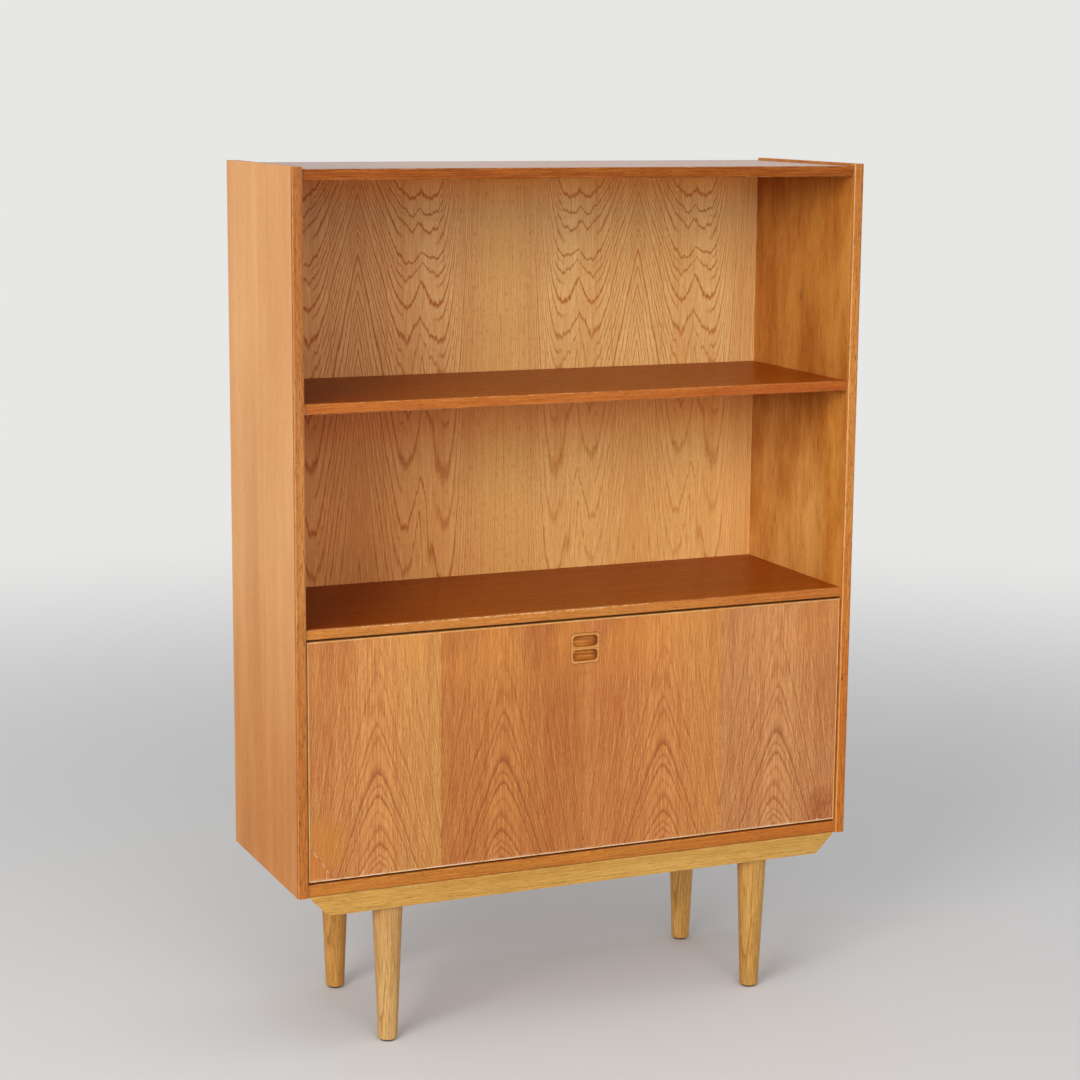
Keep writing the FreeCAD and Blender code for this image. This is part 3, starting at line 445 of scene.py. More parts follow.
def softened(name, width, shortest=0.0, onlyOuter=False):
    work = bmesh.new()
    work.from_mesh(nodes[name].data)
    bmesh.ops.remove_doubles(work, verts=work.verts, dist=softening["weld"])
    bmesh.ops.dissolve_limit(work, angle_limit=math.radians(softening["flat"]), verts=work.verts,
                             edges=work.edges, delimit=set())
    low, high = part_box(name)

    def outer(edge):
        middle = (edge.verts[0].co + edge.verts[1].co) / 2
        gaps = [min(abs(middle[index] - low[index]), abs(middle[index] - high[index])) for index in range(3)]
        return sum(gap < softening["onBox"] for gap in gaps) >= 2

    sharp = [edge for edge in work.edges if len(edge.link_faces) == 2 and edge.calc_length() >= shortest
             and edge.calc_face_angle(0) > math.radians(softening["sharpFrom"])
             and (not onlyOuter or outer(edge))]
    if sharp:
        bmesh.ops.bevel(work, geom=sharp, offset=width, offset_type="OFFSET", segments=softening["segments"],
                        profile=0.5, affect="EDGES", clamp_overlap=True)
    for face in work.faces:
        face.smooth = True
    mesh = bpy.data.meshes.new(name + "_soft")
    work.to_mesh(mesh)
    work.free()
    mesh.set_sharp_from_angle(angle=math.radians(softening["shadeSharpFrom"]))
    shown = bpy.data.objects.new(name + "_soft", mesh)
    bpy.context.scene.collection.objects.link(shown)
    shown.modifiers.new("evenShading", "WEIGHTED_NORMAL").keep_sharp = True
    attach(shown, nodeBody[name])
    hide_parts(name)
    return shown


def dress(thing, material):
    thing.data.materials.clear()
    thing.data.materials.append(material)


def dressOak(name, look, axes, bevel=0, shortest=0.0, onlyOuter=False, **more):
    shown = softened(name, bevel, shortest, onlyOuter) if bevel else nodes[name]
    dress(shown, oakMaterial(name, look, axes, **more))


# side panels: crown-free veneer with a fine upright grain, deeper in tone inside
sides = {
    "look": {"pale": (234, 172, 107), "warm": (216, 148, 82), "line": (158, 92, 38), "ringWidth": 0.0036,
             "heartOffset": 0.55, "crownDepth": 0.05, "wander": 0.004, "ragged": 0.0003, "lines": 0.15,
             "pores": 0.25, "grain": 0.4, "cloud": 0.9},
    "seeds": (1.3, 5.4), "bevel": 0.0004, "middle": 0.442,
    # outside
    "lowTone": (238, 222, 176), "lowReach": (0.3, 0.85), "bandTone": (0.86, 0.74, 0.56, 1),
    "bandReach": (0.2, 1.0, 1.0, 0.3), "bandScale": (0, 14, 1.6),
    # inside
    "insideTone": (219, 209, 160), "bayTone": (237, 240, 206), "frontTone": (234, 229, 175),
    "jointAt": -0.0854, "jointTop": 0.935, "cloudTone": (0.88, 0.67, 0.46, 1), "cloudScale": (0, 16, 5),
    "brightTone": (1.23, 1.28, 1.38, 1), "fleck": (126, 48, 10), "fleckAmount": 0.62,
    "fleckScale": (0, 430, 30), "bruiseTone": (104, 84, 66), "bruiseAmount": 0.45,
    "bruise": {"Middle": (-0.0013, 1.076, 0), "Half": (0.004, 0.008, 0), "Corner": 0.003, "Softness": 0.004},
    # painted shade just under the boards: their feet, its tone, reach and start
    "boardFeet": (1.2653, 0.942), "underShadeTone": (0.68, 0.5, 0.34, 1), "underReach": 0.075,
    "underStart": 0.012,
}
boardShortest = 0.02        # a board's shorter edges, such as those of its bores, stay crisp


def sideMarks(where, ground):
    spot = apart(where)
    inside = soften(size(spot["X"]), sides["middle"] - 0.002, sides["middle"] + 0.002, 1.0, 0.0)
    outer = tint(ground, paint(*sides["lowTone"]), soften(spot["Z"], *sides["lowReach"], 1.0, 0.0))
    # broad upright bands show more and more towards the foot
    bands = soften(stretchedNoise(where, sides["bandScale"], (2, 0, 0), 2, 0.5), 0.36, 0.64)
    outer = tint(outer, sides["bandTone"], times(bands, soften(spot["Z"], *sides["bandReach"])))
    # inside, the front leaf of veneer in the lower bay is yellower than its neighbour
    bay = sums("LESS_THAN", spot["Z"], sides["jointTop"])
    front = times(sums("LESS_THAN", spot["Y"], sides["jointAt"]), bay)
    tone = blend(bay, paint(*sides["insideTone"]), paint(*sides["bayTone"]))
    inner = tint(ground, blend(front, tone, paint(*sides["frontTone"])))
    # clouds of redder and paler wood, and short dark flecks
    spread = stretchedNoise(where, sides["cloudScale"], (4, 0, 0), 4, 0.6)
    inner = blend(soften(spread, 0.32, 0.68), tint(inner, sides["cloudTone"]),
                        tint(inner, sides["brightTone"]))
    flecks = soften(stretchedNoise(where, sides["fleckScale"], (9, 0, 0), 3, 0.65), 0.52, 0.66)
    flecks = times(flecks, soften(spread, 0.3, 0.7, 1.0, 0.4))
    inner = lay(inner, flecks, sides["fleckAmount"], sides["fleck"])
    # painted shade just under the boards, deepest at the back
    for foot in sides["boardFeet"]:
        below = less(foot, spot["Z"])
        uneven = timesPlus(spread, 0.06, less(below, 0.03))
        underShade = times(soften(uneven, 0.0, sides["underReach"], 1.0, 0.0),
                      soften(below, -sides["underStart"], 0.0), soften(spot["Y"], -0.12, 0.12, 0.35, 1.0))
        inner = tint(inner, sides["underShadeTone"], underShade)
    bruise = useGroup(patch, {"Across": spot["Y"], "Along": spot["Z"], **sides["bruise"]})["Inside"]
    inner = lay(inner, bruise, sides["bruiseAmount"], sides["bruiseTone"])
    return blend(inside, outer, inner)


for name, seed in zip(("side_panel_left", "side_panel_right"), sides["seeds"]):
    dressOak(name, {**sides["look"], "seed": seed}, "YZX", sides["bevel"], boardShortest, onlyOuter=True,
             marks=sideMarks)
print("side panels dressed")

# lippings: solid strips on the front edges, grain along the strip, worn arrises with painted highlights
lippings = {
    "upright": {"flecks": 0.85, "line": (140, 76, 28), "ringWidth": 0.0022, "heartOffset": 0.3,
                "crownDepth": 0.2, "wander": 0.003, "lines": 0.45, "pores": 0.8, "fibre": 0.6, "grain": 1.1,
                "streak": 0.6, "cloud": 0.6, "wear": 0.35, "wearReach": 0.0014, "wearBreak": 0.4,
                "worn": (236, 190, 138)},
    "uprightTones": {
        "side_lipping_left": {"pale": (195, 134, 71), "warm": (174, 106, 43), "seed": 3.0},
        "side_lipping_right": {"pale": (211, 144, 68), "warm": (190, 114, 40), "seed": 5.7}},
    "level": {"flecks": 0.35, "line": (140, 76, 30), "ringWidth": 0.0024, "heartOffset": 0.22,
              "crownDepth": 0.12, "wander": 0.004, "pores": 0.85, "fibre": 0.6, "grain": 1.2, "streak": 0.7,
              "wearReach": 0.0014, "worn": (226, 176, 124)},
    "levelTones": {
        "top_lipping": {"pale": (168, 92, 30), "warm": (136, 66, 16), "line": (100, 46, 10), "wear": 0.4,
                        "wearBreak": 0.35, "lines": 0.8, "shine": 0.12, "seed": 8.0},
        "loose_shelf_lipping": {"pale": (190, 112, 46), "warm": (172, 91, 33), "wear": 0.6,
                                "wearBreak": 0.3, "shine": 0.14, "seed": 11.3},
        "fixed_shelf_lipping": {"pale": (201, 132, 58), "warm": (184, 110, 42), "wear": 0.45, "seed": 14.6},
        "bottom_lipping": {"pale": (197, 126, 46), "warm": (179, 107, 35), "wear": 0.4, "seed": 17.9}},
    # the pale arris colour is partly wear and partly painted highlight
    "bevel": 0.0005, "arrisWearAndHighlight": (244, 198, 148), "innerArris": 0.85, "outerArris": 0.4, "arrisReach": 0.0017,
    "topTone": (234, 222, 211), "topReach": (0.85, 1.28), "lowTone": (245, 219, 170), "lowReach": (0.4, 0.8),
    "redder": (0.93, 0.76, 0.66, 1), "redderReach": (-0.05, 0.38),
    "knockedLeft": (-0.42, -0.3, 0.3, 1.0), "knockedRight": (0.03, 0.16, 1.0, 0.15),
    "knockedReach": 0.0024, "knockedAmount": 0.65, "knocked": (230, 180, 134),
}


def uprightMarks(where, ground):
    # both front arrises carry a fine pale line, the inner one more, partly rubbed wear and partly a painted
    # highlight where the rounded arris catches light; the upper end is darker
    spot = apart(where)
    low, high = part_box("side_lipping_right")
    ground = tint(ground, paint(*lippings["topTone"]), soften(spot["Z"], *lippings["topReach"]))
    ground = tint(ground, paint(*lippings["lowTone"]), soften(spot["Z"], *lippings["lowReach"], 1.0, 0.0))
    patchy = soften(stretchedNoise(where, (0, 0, 60)), 0.3, 0.6, 0.5, 1.0)
    for edge, strength in ((low.x, lippings["innerArris"]), (high.x, lippings["outerArris"])):
        away = larger(size(less(size(spot["X"]), edge)), less(spot["Y"], low.y))
        line = soften(away, lippings["arrisReach"] / 2, lippings["arrisReach"], strength, 0.0)
        ground = lay(ground, line, patchy, lippings["arrisWearAndHighlight"])
    return ground


def redderRight(where, ground):
    # the strips turn redder towards their right ends
    return tint(ground, lippings["redder"], soften(apart(where)["X"], *lippings["redderReach"]))


def shelfMarks(where, ground):
    # the top arris over the flap is knocked pale and ragged, most of all left of the middle
    spot = apart(where)
    low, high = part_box("fixed_shelf_lipping")
    away = larger(less(high.z, spot["Z"]), less(spot["Y"], low.y))
    ragged = soften(stretchedNoise(where, (130, 1, 1)), 0.3, 0.7)
    strongest = times(soften(spot["X"], *lippings["knockedLeft"]),
                      soften(spot["X"], *lippings["knockedRight"]))
    reach = times(ragged, lippings["knockedReach"], strongest)
    knocked = soften(less(away, reach), -0.0005, 0.0005, lippings["knockedAmount"], 0.0)
    return blend(knocked, redderRight(where, ground), paint(*lippings["knocked"]))


levelMarks = {"fixed_shelf_lipping": shelfMarks, "loose_shelf_lipping": redderRight,
              "bottom_lipping": redderRight}
for name, look in lippings["uprightTones"].items():
    dressOak(name, {**lippings["upright"], **look}, "XZY", lippings["bevel"], edged=True, marks=uprightMarks)
for name, look in lippings["levelTones"].items():
    dressOak(name, {**lippings["level"], **look}, "ZXY", lippings["bevel"], edged=True,
             marks=levelMarks.get(name))
print("lippings dressed")

# boards: veneer with its grain along the board
boards = {
    "look": {"pale": (170, 83, 3), "warm": (147, 65, 2), "line": (104, 42, 2), "ringWidth": 0.0042,
             "heartOffset": 0.28, "crownDepth": 0.06, "wander": 0.006, "lines": 0.45, "fibre": 0.28,
             "grain": 0.6, "streak": 0.55, "roughness": 0.26, "shine": 0.05},
    "own": {"top_board": {"pale": (176, 106, 42), "warm": (154, 86, 29), "roughness": 0.2, "shine": 1.0,
                          "seed": 11.0},
            "loose_shelf": {"seed": 13.9}, "fixed_shelf": {"seed": 16.8}, "bottom_board": {"seed": 19.7}},
    # painted shadow of the left side panel over the boards' left ends: its tone and reach
    "bevel": 0.0003, "sideShadowTone": (198, 158, 130), "sideShadowReach": (-0.434, -0.134),
}


def boardMarks(where, ground):
    # painted shadow: every board is darkened towards its left end, as if shaded by the left side panel
    return tint(ground, paint(*boards["sideShadowTone"]), soften(apart(where)["X"], *boards["sideShadowReach"], 1.0, 0.0))


for name, look in boards["own"].items():
    dressOak(name, {**boards["look"], **look}, "YXZ", boards["bevel"], boardShortest, onlyOuter=True,
             marks=boardMarks)
print("boards dressed")


# book-matched leaves: how far a point lies from the middle of its leaf's arches
def fromAxis(across, leaves):
    fold = size(less(size(less(across, leaves["centre"])), leaves["leafWidth"]))
    return less(leaves["axisFromSeam"], fold)


# back sheet: book-matched crown-cut leaves, arms rising from each crown
backSheet = {
    "look": {"pale": (242, 188, 118), "warm": (218, 150, 82), "line": (186, 100, 38), "ringWidth": 0.0125,
             "lineWidth": 0.12, "crownDepth": 0.026, "wander": 0.007, "seed": 33.9, "evenness": 0.6,
             "unbroken": 0.5, "between": 0.75, "pores": 0.55, "fibre": 0.6, "grain": 1.0, "streak": 0.6,
             "cloud": 0.6, "flecks": 0.2, "roughness": 0.42},
    "face": 0.151, "centre": -0.013, "leafWidth": 0.235, "axisFromSeam": 0.101,
    # arches
    "level": 1.27, "slope": 0.45, "ease": 0.4, "steepen": 0.13, "flatReach": (-0.1, -0.02), "flatShare": 0.3,
    "flatFiner": 2.1, "hump": 0.031, "humpWidth": 0.023, "humpGrows": (0.0, 0.3, 0.55, 1.1),
    "raggedness": (0.02, 0.045, 0.0055, 0.0022),
    # the lines' strength from left to right, and the painted shade, in each bay
    "bayBreak": (0.86, 1.0), "upperLines": (-0.4, 0.1, 1.7, 1.2), "lowerLines": (-0.35, 0.2, 1.2, 0.6),
    "upperBayShading": ((0.92, 0.86, 0.9, 1), (1.02, 1.22, 1.36, 1)),
    "lowerBayShading": ((0.94, 0.73, 0.58, 1), (1.12, 1.28, 1.3, 1)),
    # painted shade under each board: its foot, where the shade is deepest, how far it reaches, its tone
    "underBoardShades": ((1.2653, 0.0, 0.066, (1.18, 0.82, 0.48, 1)), (0.942, 0.04, 0.13, (1.0, 0.76, 0.6, 1))),
    "underStart": 0.06, "golden": (234, 176, 98), "goldenReach": 0.08, "goldenAmount": 0.45,
    "fleck": (152, 80, 30), "fleckAmount": 0.5, "fleckScale": (520, 0, 85),
    "rear": (196, 152, 104), "rearAmount": 0.8,
}


def backCrown(across, along, depth):
    piece = backSheet
    side = fromAxis(across, piece)
    down = less(piece["level"], along)
    # arches follow each other closely at the top and draw out into long lines lower down
    passed = less(1.0, sums("EXPONENT", over(down, -piece["ease"])))
    rise = times(passed, piece["slope"] * piece["ease"],
                 soften(side, *piece["flatReach"], piece["flatShare"], 1.0))
    # the rings stand closer on the flat side and, less so, towards the seam
    share = over(larger(side, 0.0), piece["axisFromSeam"])
    fine = timesPlus(times(share, share), piece["steepen"],
                     soften(side, *piece["flatReach"], piece["flatFiner"], 1.0))
    # the lines are fainter in the lower bay, the more so to the right
    upwards = soften(along, *piece["bayBreak"])
    strength = plus(times(upwards, soften(across, *piece["upperLines"])),
                    times(less(1.0, upwards), soften(across, *piece["lowerLines"])))
    return {"Across": times(side, fine), "Rise": rise, "Flow": times(passed, piece["ease"]),
            "Hump": times(soften(down, *piece["humpGrows"]), piece["hump"]),
            "Hump Width": piece["humpWidth"], "Ragged": soften(size(side), *piece["raggedness"]),
            "Depth": less(depth, piece["face"])}, strength


def backMarks(where, ground):
    piece, spot, plain = backSheet, apart(where), ground
    # the plain wood beside the middle seam is more golden, and shows the most short flecks
    out = size(less(spot["X"], piece["centre"]))
    near = soften(out, 0.0, piece["goldenReach"], piece["goldenAmount"], 0.0)
    ground = blend(near, ground, paint(*piece["golden"]))
    flecks = soften(stretchedNoise(where, piece["fleckScale"], (0, 3, 0), 3, 0.65), 0.55, 0.68)
    flecks = times(flecks, soften(out, 0.06, 0.16, 1.0, 0.2))
    ground = lay(ground, flecks, piece["fleckAmount"], piece["fleck"])
    # painted shade: darker and redder towards the left, where the left side panel shades the sheet, with its
    # own painted shading in each bay
    rightwards = soften(spot["X"], -0.43, 0.3)
    ground = tint(ground, blend(soften(spot["Z"], *piece["bayBreak"]),
                                      blend(rightwards, *piece["lowerBayShading"]),
                                      blend(rightwards, *piece["upperBayShading"])))
    # painted shade, redder and darker, just under each board
    for foot, deepest, reach, redder in piece["underBoardShades"]:
        below = less(foot, spot["Z"])
        underShade = times(soften(below, deepest, reach, 1.0, 0.0),
                      soften(below, deepest - piece["underStart"], deepest))
        ground = tint(ground, redder, underShade)
    # the rear face is plainer and duller
    rear = blend(piece["rearAmount"], plain, paint(*piece["rear"]))
    return blend(sums("GREATER_THAN", spot["Y"], piece["face"] + 0.001), ground, rear)


dressOak("back_sheet", backSheet["look"], "XZY", crown=backCrown, marks=backMarks)
print("back sheet dressed")

# flap: four book-matched leaves with soft arches that point up
flap = {
    "look": {"pale": (216, 149, 83), "warm": (181, 103, 47), "line": (136, 62, 22), "ringWidth": 0.0056,
             "lineWidth": 0.46, "crownDepth": 0.045, "wander": 0.006, "ragged": 0.0022, "seed": 31.0,
             "unbroken": 0.5, "between": 0.5, "pores": 0.8, "fibre": 1.1, "grain": 1.8, "streak": 0.75,
             "cloud": 0.9, "flecks": 0.1, "roughness": 0.36},
    "face": -0.1505, "bottom": 0.2649, "centre": 0.0, "leafWidth": 0.229, "axisFromSeam": 0.098,
    # arches
    "rise": 0.118, "ease": 0.36, "tip": -0.007, "tipWidth": 0.022, "steepen": 0.22, "steepenAt": 0.12,
    "linesFade": (0.36, 0.58, 0.98, 0.42), "armLines": (0.03, 0.075, 0.0, 0.38),
    # tones
    # tones, with painted glare on the rightmost leaf
    "yellow": (222, 160, 84), "red": (200, 124, 66), "leafTone": 0.25, "yellowReach": (0.03, 0.1),
    "leafTonesAndGlare": ((0.92, 0.99, 1.02, 1), (0.84, 0.8, 0.7, 1), (0.94, 0.92, 0.89, 1), (0.95, 1.06, 1.34, 1)),
    "amber": (222, 148, 62), "amberReach": (0.5, 0.605, 0.0, 0.55), "amberScale": (9, 0, 6),
    "amberShare": 0.55,
    # repaired corner at the lower left: a rubbed place, a let-in piece, its joint and a crack
    "rubbed": {"Middle": (-0.41, 0.318, 0), "Half": (0.028, 0.04, 0), "Corner": 0.024, "Softness": 0.014},
    "rubbedTone": (190, 122, 48), "rubbedAmount": 0.5, "letInTone": (190, 108, 46), "letInAmount": 0.5,
    "joint": {"From": (-0.4055, 0.2785, 0), "To": (-0.4055, 0.2649, 0), "Width": 0.0007, "Ragged": 0.001},
    "jointTone": (222, 176, 140), "jointAmount": 0.6,
    "crack": {"From": (-0.4295, 0.3155, 0), "To": (-0.3925, 0.2635, 0), "Width": 0.0011, "Ragged": 0.003},
    "crackTones": ((128, 70, 32), (214, 176, 150)), "crackAmount": 0.65,
    # rubbed lower edge with a chip, and a spotted stain at the lower right
    "edgeReach": 0.007, "edgeTone": (236, 200, 172), "edgeAmount": 0.55,
    "chip": {"Middle": (0.403, 0.2649, 0), "Half": (0.0024, 0.0042, 0), "Corner": 0.0022,
             "Softness": 0.0008},
    "chipTone": (226, 208, 180), "chipAmount": 0.8,
    "stain": {"Middle": (0.412, 0.283, 0), "Half": (0.024, 0.034, 0), "Corner": 0.02, "Softness": 0.014},
    "stainTone": (146, 70, 22), "stainAmount": 0.72,
    # the fine joint round the finger pull
    "pullCorner": 0.006, "pullJoint": 0.0012, "pullTone": (96, 48, 18), "pullAmount": 0.85,
}
pullLow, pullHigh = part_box("finger_pull")
pullMiddle, pullHalf = (pullLow + pullHigh) / 2, (pullHigh - pullLow) / 2


def flapCrown(across, along, depth):
    piece = flap
    side = fromAxis(across, piece)
    gain = less(1.0, sums("EXPONENT", times(less(along, piece["bottom"]), -1 / piece["ease"])))
    # rings stand closer together towards the seams, which turns their arms upright there
    share = over(side, piece["steepenAt"])
    steeper = timesPlus(times(share, share), piece["steepen"], 1.0)
    strength = plus(soften(along, *piece["linesFade"]), soften(size(side), *piece["armLines"]))
    return {"Across": times(side, steeper), "Rise": times(gain, piece["rise"]),
            "Flow": times(gain, piece["ease"]), "Hump": piece["tip"], "Hump Width": piece["tipWidth"],
            "Depth": less(depth, piece["face"])}, strength


def flapMarks(where, ground):
    piece, spot = flap, apart(where)
    across, along = spot["X"], spot["Z"]
    beyond = less(size(across), piece["leafWidth"])
    yellow = timesPlus(times(sums("SIGN", across), sums("SIGN", beyond)), -0.5, 0.5)
    yellow = times(yellow, soften(size(beyond), *piece["yellowReach"], 1.0, 0.0))
    ground = blend(piece["leafTone"], ground, blend(yellow, paint(*piece["red"]),
                                                                paint(*piece["yellow"])))
    # each leaf has its own tone; the rightmost leaf's paler, bluer tone is painted glare
    tone = piece["leafTonesAndGlare"][0]
    for seam, following in zip((-1, 0, 1), piece["leafTonesAndGlare"][1:]):
        tone = blend(sums("GREATER_THAN", across, seam * piece["leafWidth"]), tone, following)
    ground = tint(ground, tone)
    # amber clouds along the top
    cloudy = soften(stretchedNoise(where, piece["amberScale"], (0, 5, 0), 3, 0.6), 0.42, 0.66)
    cloudy = times(cloudy, soften(along, *piece["amberReach"]))
    ground = blend(cloudy, ground, blend(piece["amberShare"], ground, paint(*piece["amber"])))
    inside = ground

    def onFace(group, label, **inputs):
        return useGroup(group, {"Across": across, "Along": along, **inputs})[label]

    # repaired corner at the lower left
    (left, top), (right, foot) = piece["crack"]["From"][:2], piece["crack"]["To"][:2]
    line = timesPlus(less(across, left), (foot - top) / (right - left), top)
    corner = soften(less(along, line), -0.0006, 0.0006, 1.0, 0.0)
    rubbed = onFace(patch, "Inside", **piece["rubbed"])
    ground = lay(ground, rubbed, piece["rubbedAmount"], piece["rubbedTone"])
    ground = lay(ground, corner, piece["letInAmount"], piece["letInTone"])
    ground = lay(ground, onFace(scratch, "Mask", **piece["joint"]), piece["jointAmount"], piece["jointTone"])
    filler = blend(soften(noise(vector(across, 0.0, along), 160), 0.45, 0.6),
                         *(paint(*shade) for shade in piece["crackTones"]))
    crack = times(onFace(scratch, "Mask", **piece["crack"]), piece["crackAmount"])
    ground = blend(crack, ground, filler)
    # rubbed lower edge with its chip, then the spotted stain
    edge = soften(less(along, piece["bottom"]), 0.0, piece["edgeReach"], 1.0, 0.0)
    edge = times(edge, soften(stretchedNoise(where, (30, 0, 300)), 0.46, 0.66))
    ground = lay(ground, edge, piece["edgeAmount"], piece["edgeTone"])
    ground = lay(ground, onFace(patch, "Inside", **piece["chip"]), piece["chipAmount"], piece["chipTone"])
    spots = soften(stretchedNoise(where, (170, 0, 70), (0, 0, 0), 3, 0.7), 0.4, 0.62, 0.35, 1.0)
    stain = times(onFace(patch, "Inside", **piece["stain"]), spots)
    ground = lay(ground, stain, piece["stainAmount"], piece["stainTone"])
    middle, half = (pullMiddle.x, pullMiddle.z, 0), (pullHalf.x, pullHalf.z, 0)
    pullJoint = onFace(patch, "Line", Middle=middle, Half=half, Corner=piece["pullCorner"],
                       **{"Line Width": piece["pullJoint"]})
    ground = lay(ground, pullJoint, piece["pullAmount"], piece["pullTone"])
    # none of these marks goes through to the inner face
    return blend(sums("GREATER_THAN", spot["Y"], piece["face"] + 0.001), ground, inside)


dressOak("flap_panel", flap["look"], "XZY", crown=flapCrown, marks=flapMarks)

# thin lippings round the flap
edging = {
    "look": {"pale": (222, 166, 92), "warm": (206, 144, 72), "line": (150, 90, 40), "ringWidth": 0.002,
             "heartOffset": 0.3, "crownDepth": 0.2, "lines": 0.35, "wearReach": 0.001, "wearBreak": 0.45,
             "worn": (236, 196, 150)},
    "own": {"flap_lipping_top": {"seed": 37.0},
            "flap_lipping_bottom": {"seed": 38.9, "wear": 0.7, "wearReach": 0.0025, "wearBreak": 0.42,
                                    "worn": (234, 200, 172)},
            "flap_lipping_left": {"seed": 40.8}, "flap_lipping_right": {"seed": 42.7}},
    # the brown is painted shade on the faces deep in the joint
    "bevel": 0.0003, "jointShade": (178, 120, 66), "jointShadeAmount": 0.7,
}


def edgingMarks(where, ground):
    # painted shade: the outer faces, deep in the joint round the flap, are darkened to brown
    spot = apart(where)
    low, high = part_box("flap_lipping_left")[0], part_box("flap_lipping_right")[1]
    away = smaller(less(high.x, size(spot["X"])), less(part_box("flap_lipping_top")[1].z, spot["Z"]))
    jointShade = times(soften(away, 0.0002, 0.0008, 1.0, 0.0), soften(less(spot["Y"], low.y), 0.0002, 0.0012))
    return lay(ground, jointShade, edging["jointShadeAmount"], edging["jointShade"])


for name, look in edging["own"].items():
    axes = "ZXY" if name in ("flap_lipping_top", "flap_lipping_bottom") else "XZY"
    dressOak(name, {**edging["look"], **look}, axes, edging["bevel"], edged=True, marks=edgingMarks)
print("flap dressed")

# finger pull: grain across, with painted shade deepening the tone in the scooped slots
fingerPull = {
    "look": {"pale": (214, 156, 86), "warm": (196, 128, 62), "line": (146, 76, 26), "ringWidth": 0.0026,
             "heartOffset": 0.06, "crownDepth": 0.03, "seed": 44.0, "lines": 0.6, "pores": 0.6, "fibre": 0.4,
             "grain": 0.9},
    # the slots' deeper tone, the dark line inside the rim and the dark right ends are painted shade; the
    # same dark tone also draws the floor's stripes
    "slotShadeTone": (255, 232, 176), "stripeAndShadeTone": (104, 40, 12), "rimDepth": 0.0006, "wallDepth": 0.0022,
    "floorDepth": 0.005, "stripeScale": (24, 1, 330), "stripeAmount": 0.5, "rimShadeAmount": 0.75,
    "rightEndShade": (0.0112, 0.0195), "rightShadeAmount": 0.78,
}


def pullMarks(where, ground):
    piece, spot = fingerPull, apart(where)
    inward = less(spot["Y"], pullLow.y)
    # painted shade deepens the slots' tone and darkens a line just inside the rim; the floor is striped
    deep = soften(inward, piece["rimDepth"], piece["floorDepth"])
    ground = tint(ground, paint(*piece["slotShadeTone"]), deep)
    stripes = soften(stretchedNoise(where, piece["stripeScale"], (0, 0, 0), 2, 0.6), 0.4, 0.62)
    ground = lay(ground, times(stripes, deep), piece["stripeAmount"], piece["stripeAndShadeTone"])
    enter = soften(inward, piece["rimDepth"], 2 * piece["rimDepth"])
    leave = soften(inward, piece["wallDepth"], piece["floorDepth"], 1.0, 0.0)
    # painted shade: the right ends of both slots are darkened most
    rightEndShade = soften(less(spot["X"], pullMiddle.x), *piece["rightEndShade"])
    pullShade = larger(times(enter, leave, piece["rimShadeAmount"]), times(enter, rightEndShade, piece["rightShadeAmount"]))
    return blend(pullShade, ground, paint(*piece["stripeAndShadeTone"]))


dressOak("finger_pull", fingerPull["look"], "ZXY", marks=pullMarks)
print("finger pull dressed")

# base frame and legs: solid oak, lighter and yellower, grain along each piece
baseFrame = {
    "rail": {"flecks": 0.12, "pale": (208, 162, 83), "warm": (187, 136, 59), "line": (140, 90, 36),
             "ringWidth": 0.0034, "heartOffset": 0.09, "crownDepth": 0.06, "wander": 0.005, "ragged": 0.0003,
             "pores": 0.55, "fibre": 0.6, "grain": 1.1, "streak": 0.7, "wear": 0.35, "wearReach": 0.0016,
             "worn": (222, 184, 118), "roughness": 0.42},
    "rails": {"base_rail_front": ("ZXY", 51.0), "base_rail_rear": ("ZXY", 54.7),
              "base_cross_rail_left": ("ZYX", 58.0), "base_cross_rail_right": ("ZYX", 59.7)},
    "bevel": 0.0006,
    "leg": {"flecks": 0.06, "pale": (204, 156, 88), "warm": (181, 129, 65), "line": (130, 79, 33),
            "ringWidth": 0.003, "wander": 0.004, "ragged": 0.0003, "lines": 0.7, "fibre": 0.6, "grain": 1.3,
            "streak": 0.9, "cloud": 0.7, "roughness": 0.42},
    "legHeart": (0.06, 0.04),
    # each leg is turned from its own piece of wood; the rear right leg is also painted lighter, standing in
    # for light the cabinet keeps from it
    "legs": {"leg_front_left": (61.0, (1.02, 1.1, 1.35, 1)), "leg_front_right": (63.3, (1.0, 1.0, 0.86, 1)),
             "leg_rear_left": (65.6, (1.08, 1.02, 0.84, 1)),
             "leg_rear_right": (67.9, (1.38, 1.42, 1.36, 1))},
}
for name, (axes, seed) in baseFrame["rails"].items():
    dressOak(name, {**baseFrame["rail"], "seed": seed}, axes, baseFrame["bevel"], boardShortest,
             onlyOuter="cross" in name, edged=True)
for name, (seed, legToneAndLight) in baseFrame["legs"].items():
    low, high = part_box(name)
    heart = {"heartOffset": baseFrame["legHeart"][0] - (low.x + high.x) / 2,
             "crownDepth": baseFrame["legHeart"][1] - (low.y + high.y) / 2}
    dressOak(name, {**baseFrame["leg"], **heart, "seed": seed}, "XZY",
             marks=lambda where, ground, tone=legToneAndLight: tint(ground, tone))
print("base dressed")


# metal, plastic and beech
def fittingMaterial(name, look):
    made, shader, where = newMaterial(name)
    signs = useGroup(handling, {"Place": where, "Grain Size": look["grainSize"], "Seed": look["seed"]})
    tone = blend(soften(signs["Haze"], 0.35, 0.7), paint(*look["clean"]), paint(*look["dull"]))
    rough = timesPlus(signs["Hairlines"], look["hairlines"], look["roughness"])
    height = plus(signs["Hairlines"], times(signs["Specks"], -0.6))
    feed(shader.inputs, {"Base Color": lay(tone, signs["Specks"], look["specks"], look["speck"]),
                         "Roughness": timesPlus(signs["Specks"], 0.2, rough), "Metallic": look["metal"],
                         "Normal": bumpFrom(height, look["bump"], 0.3)})
    return made


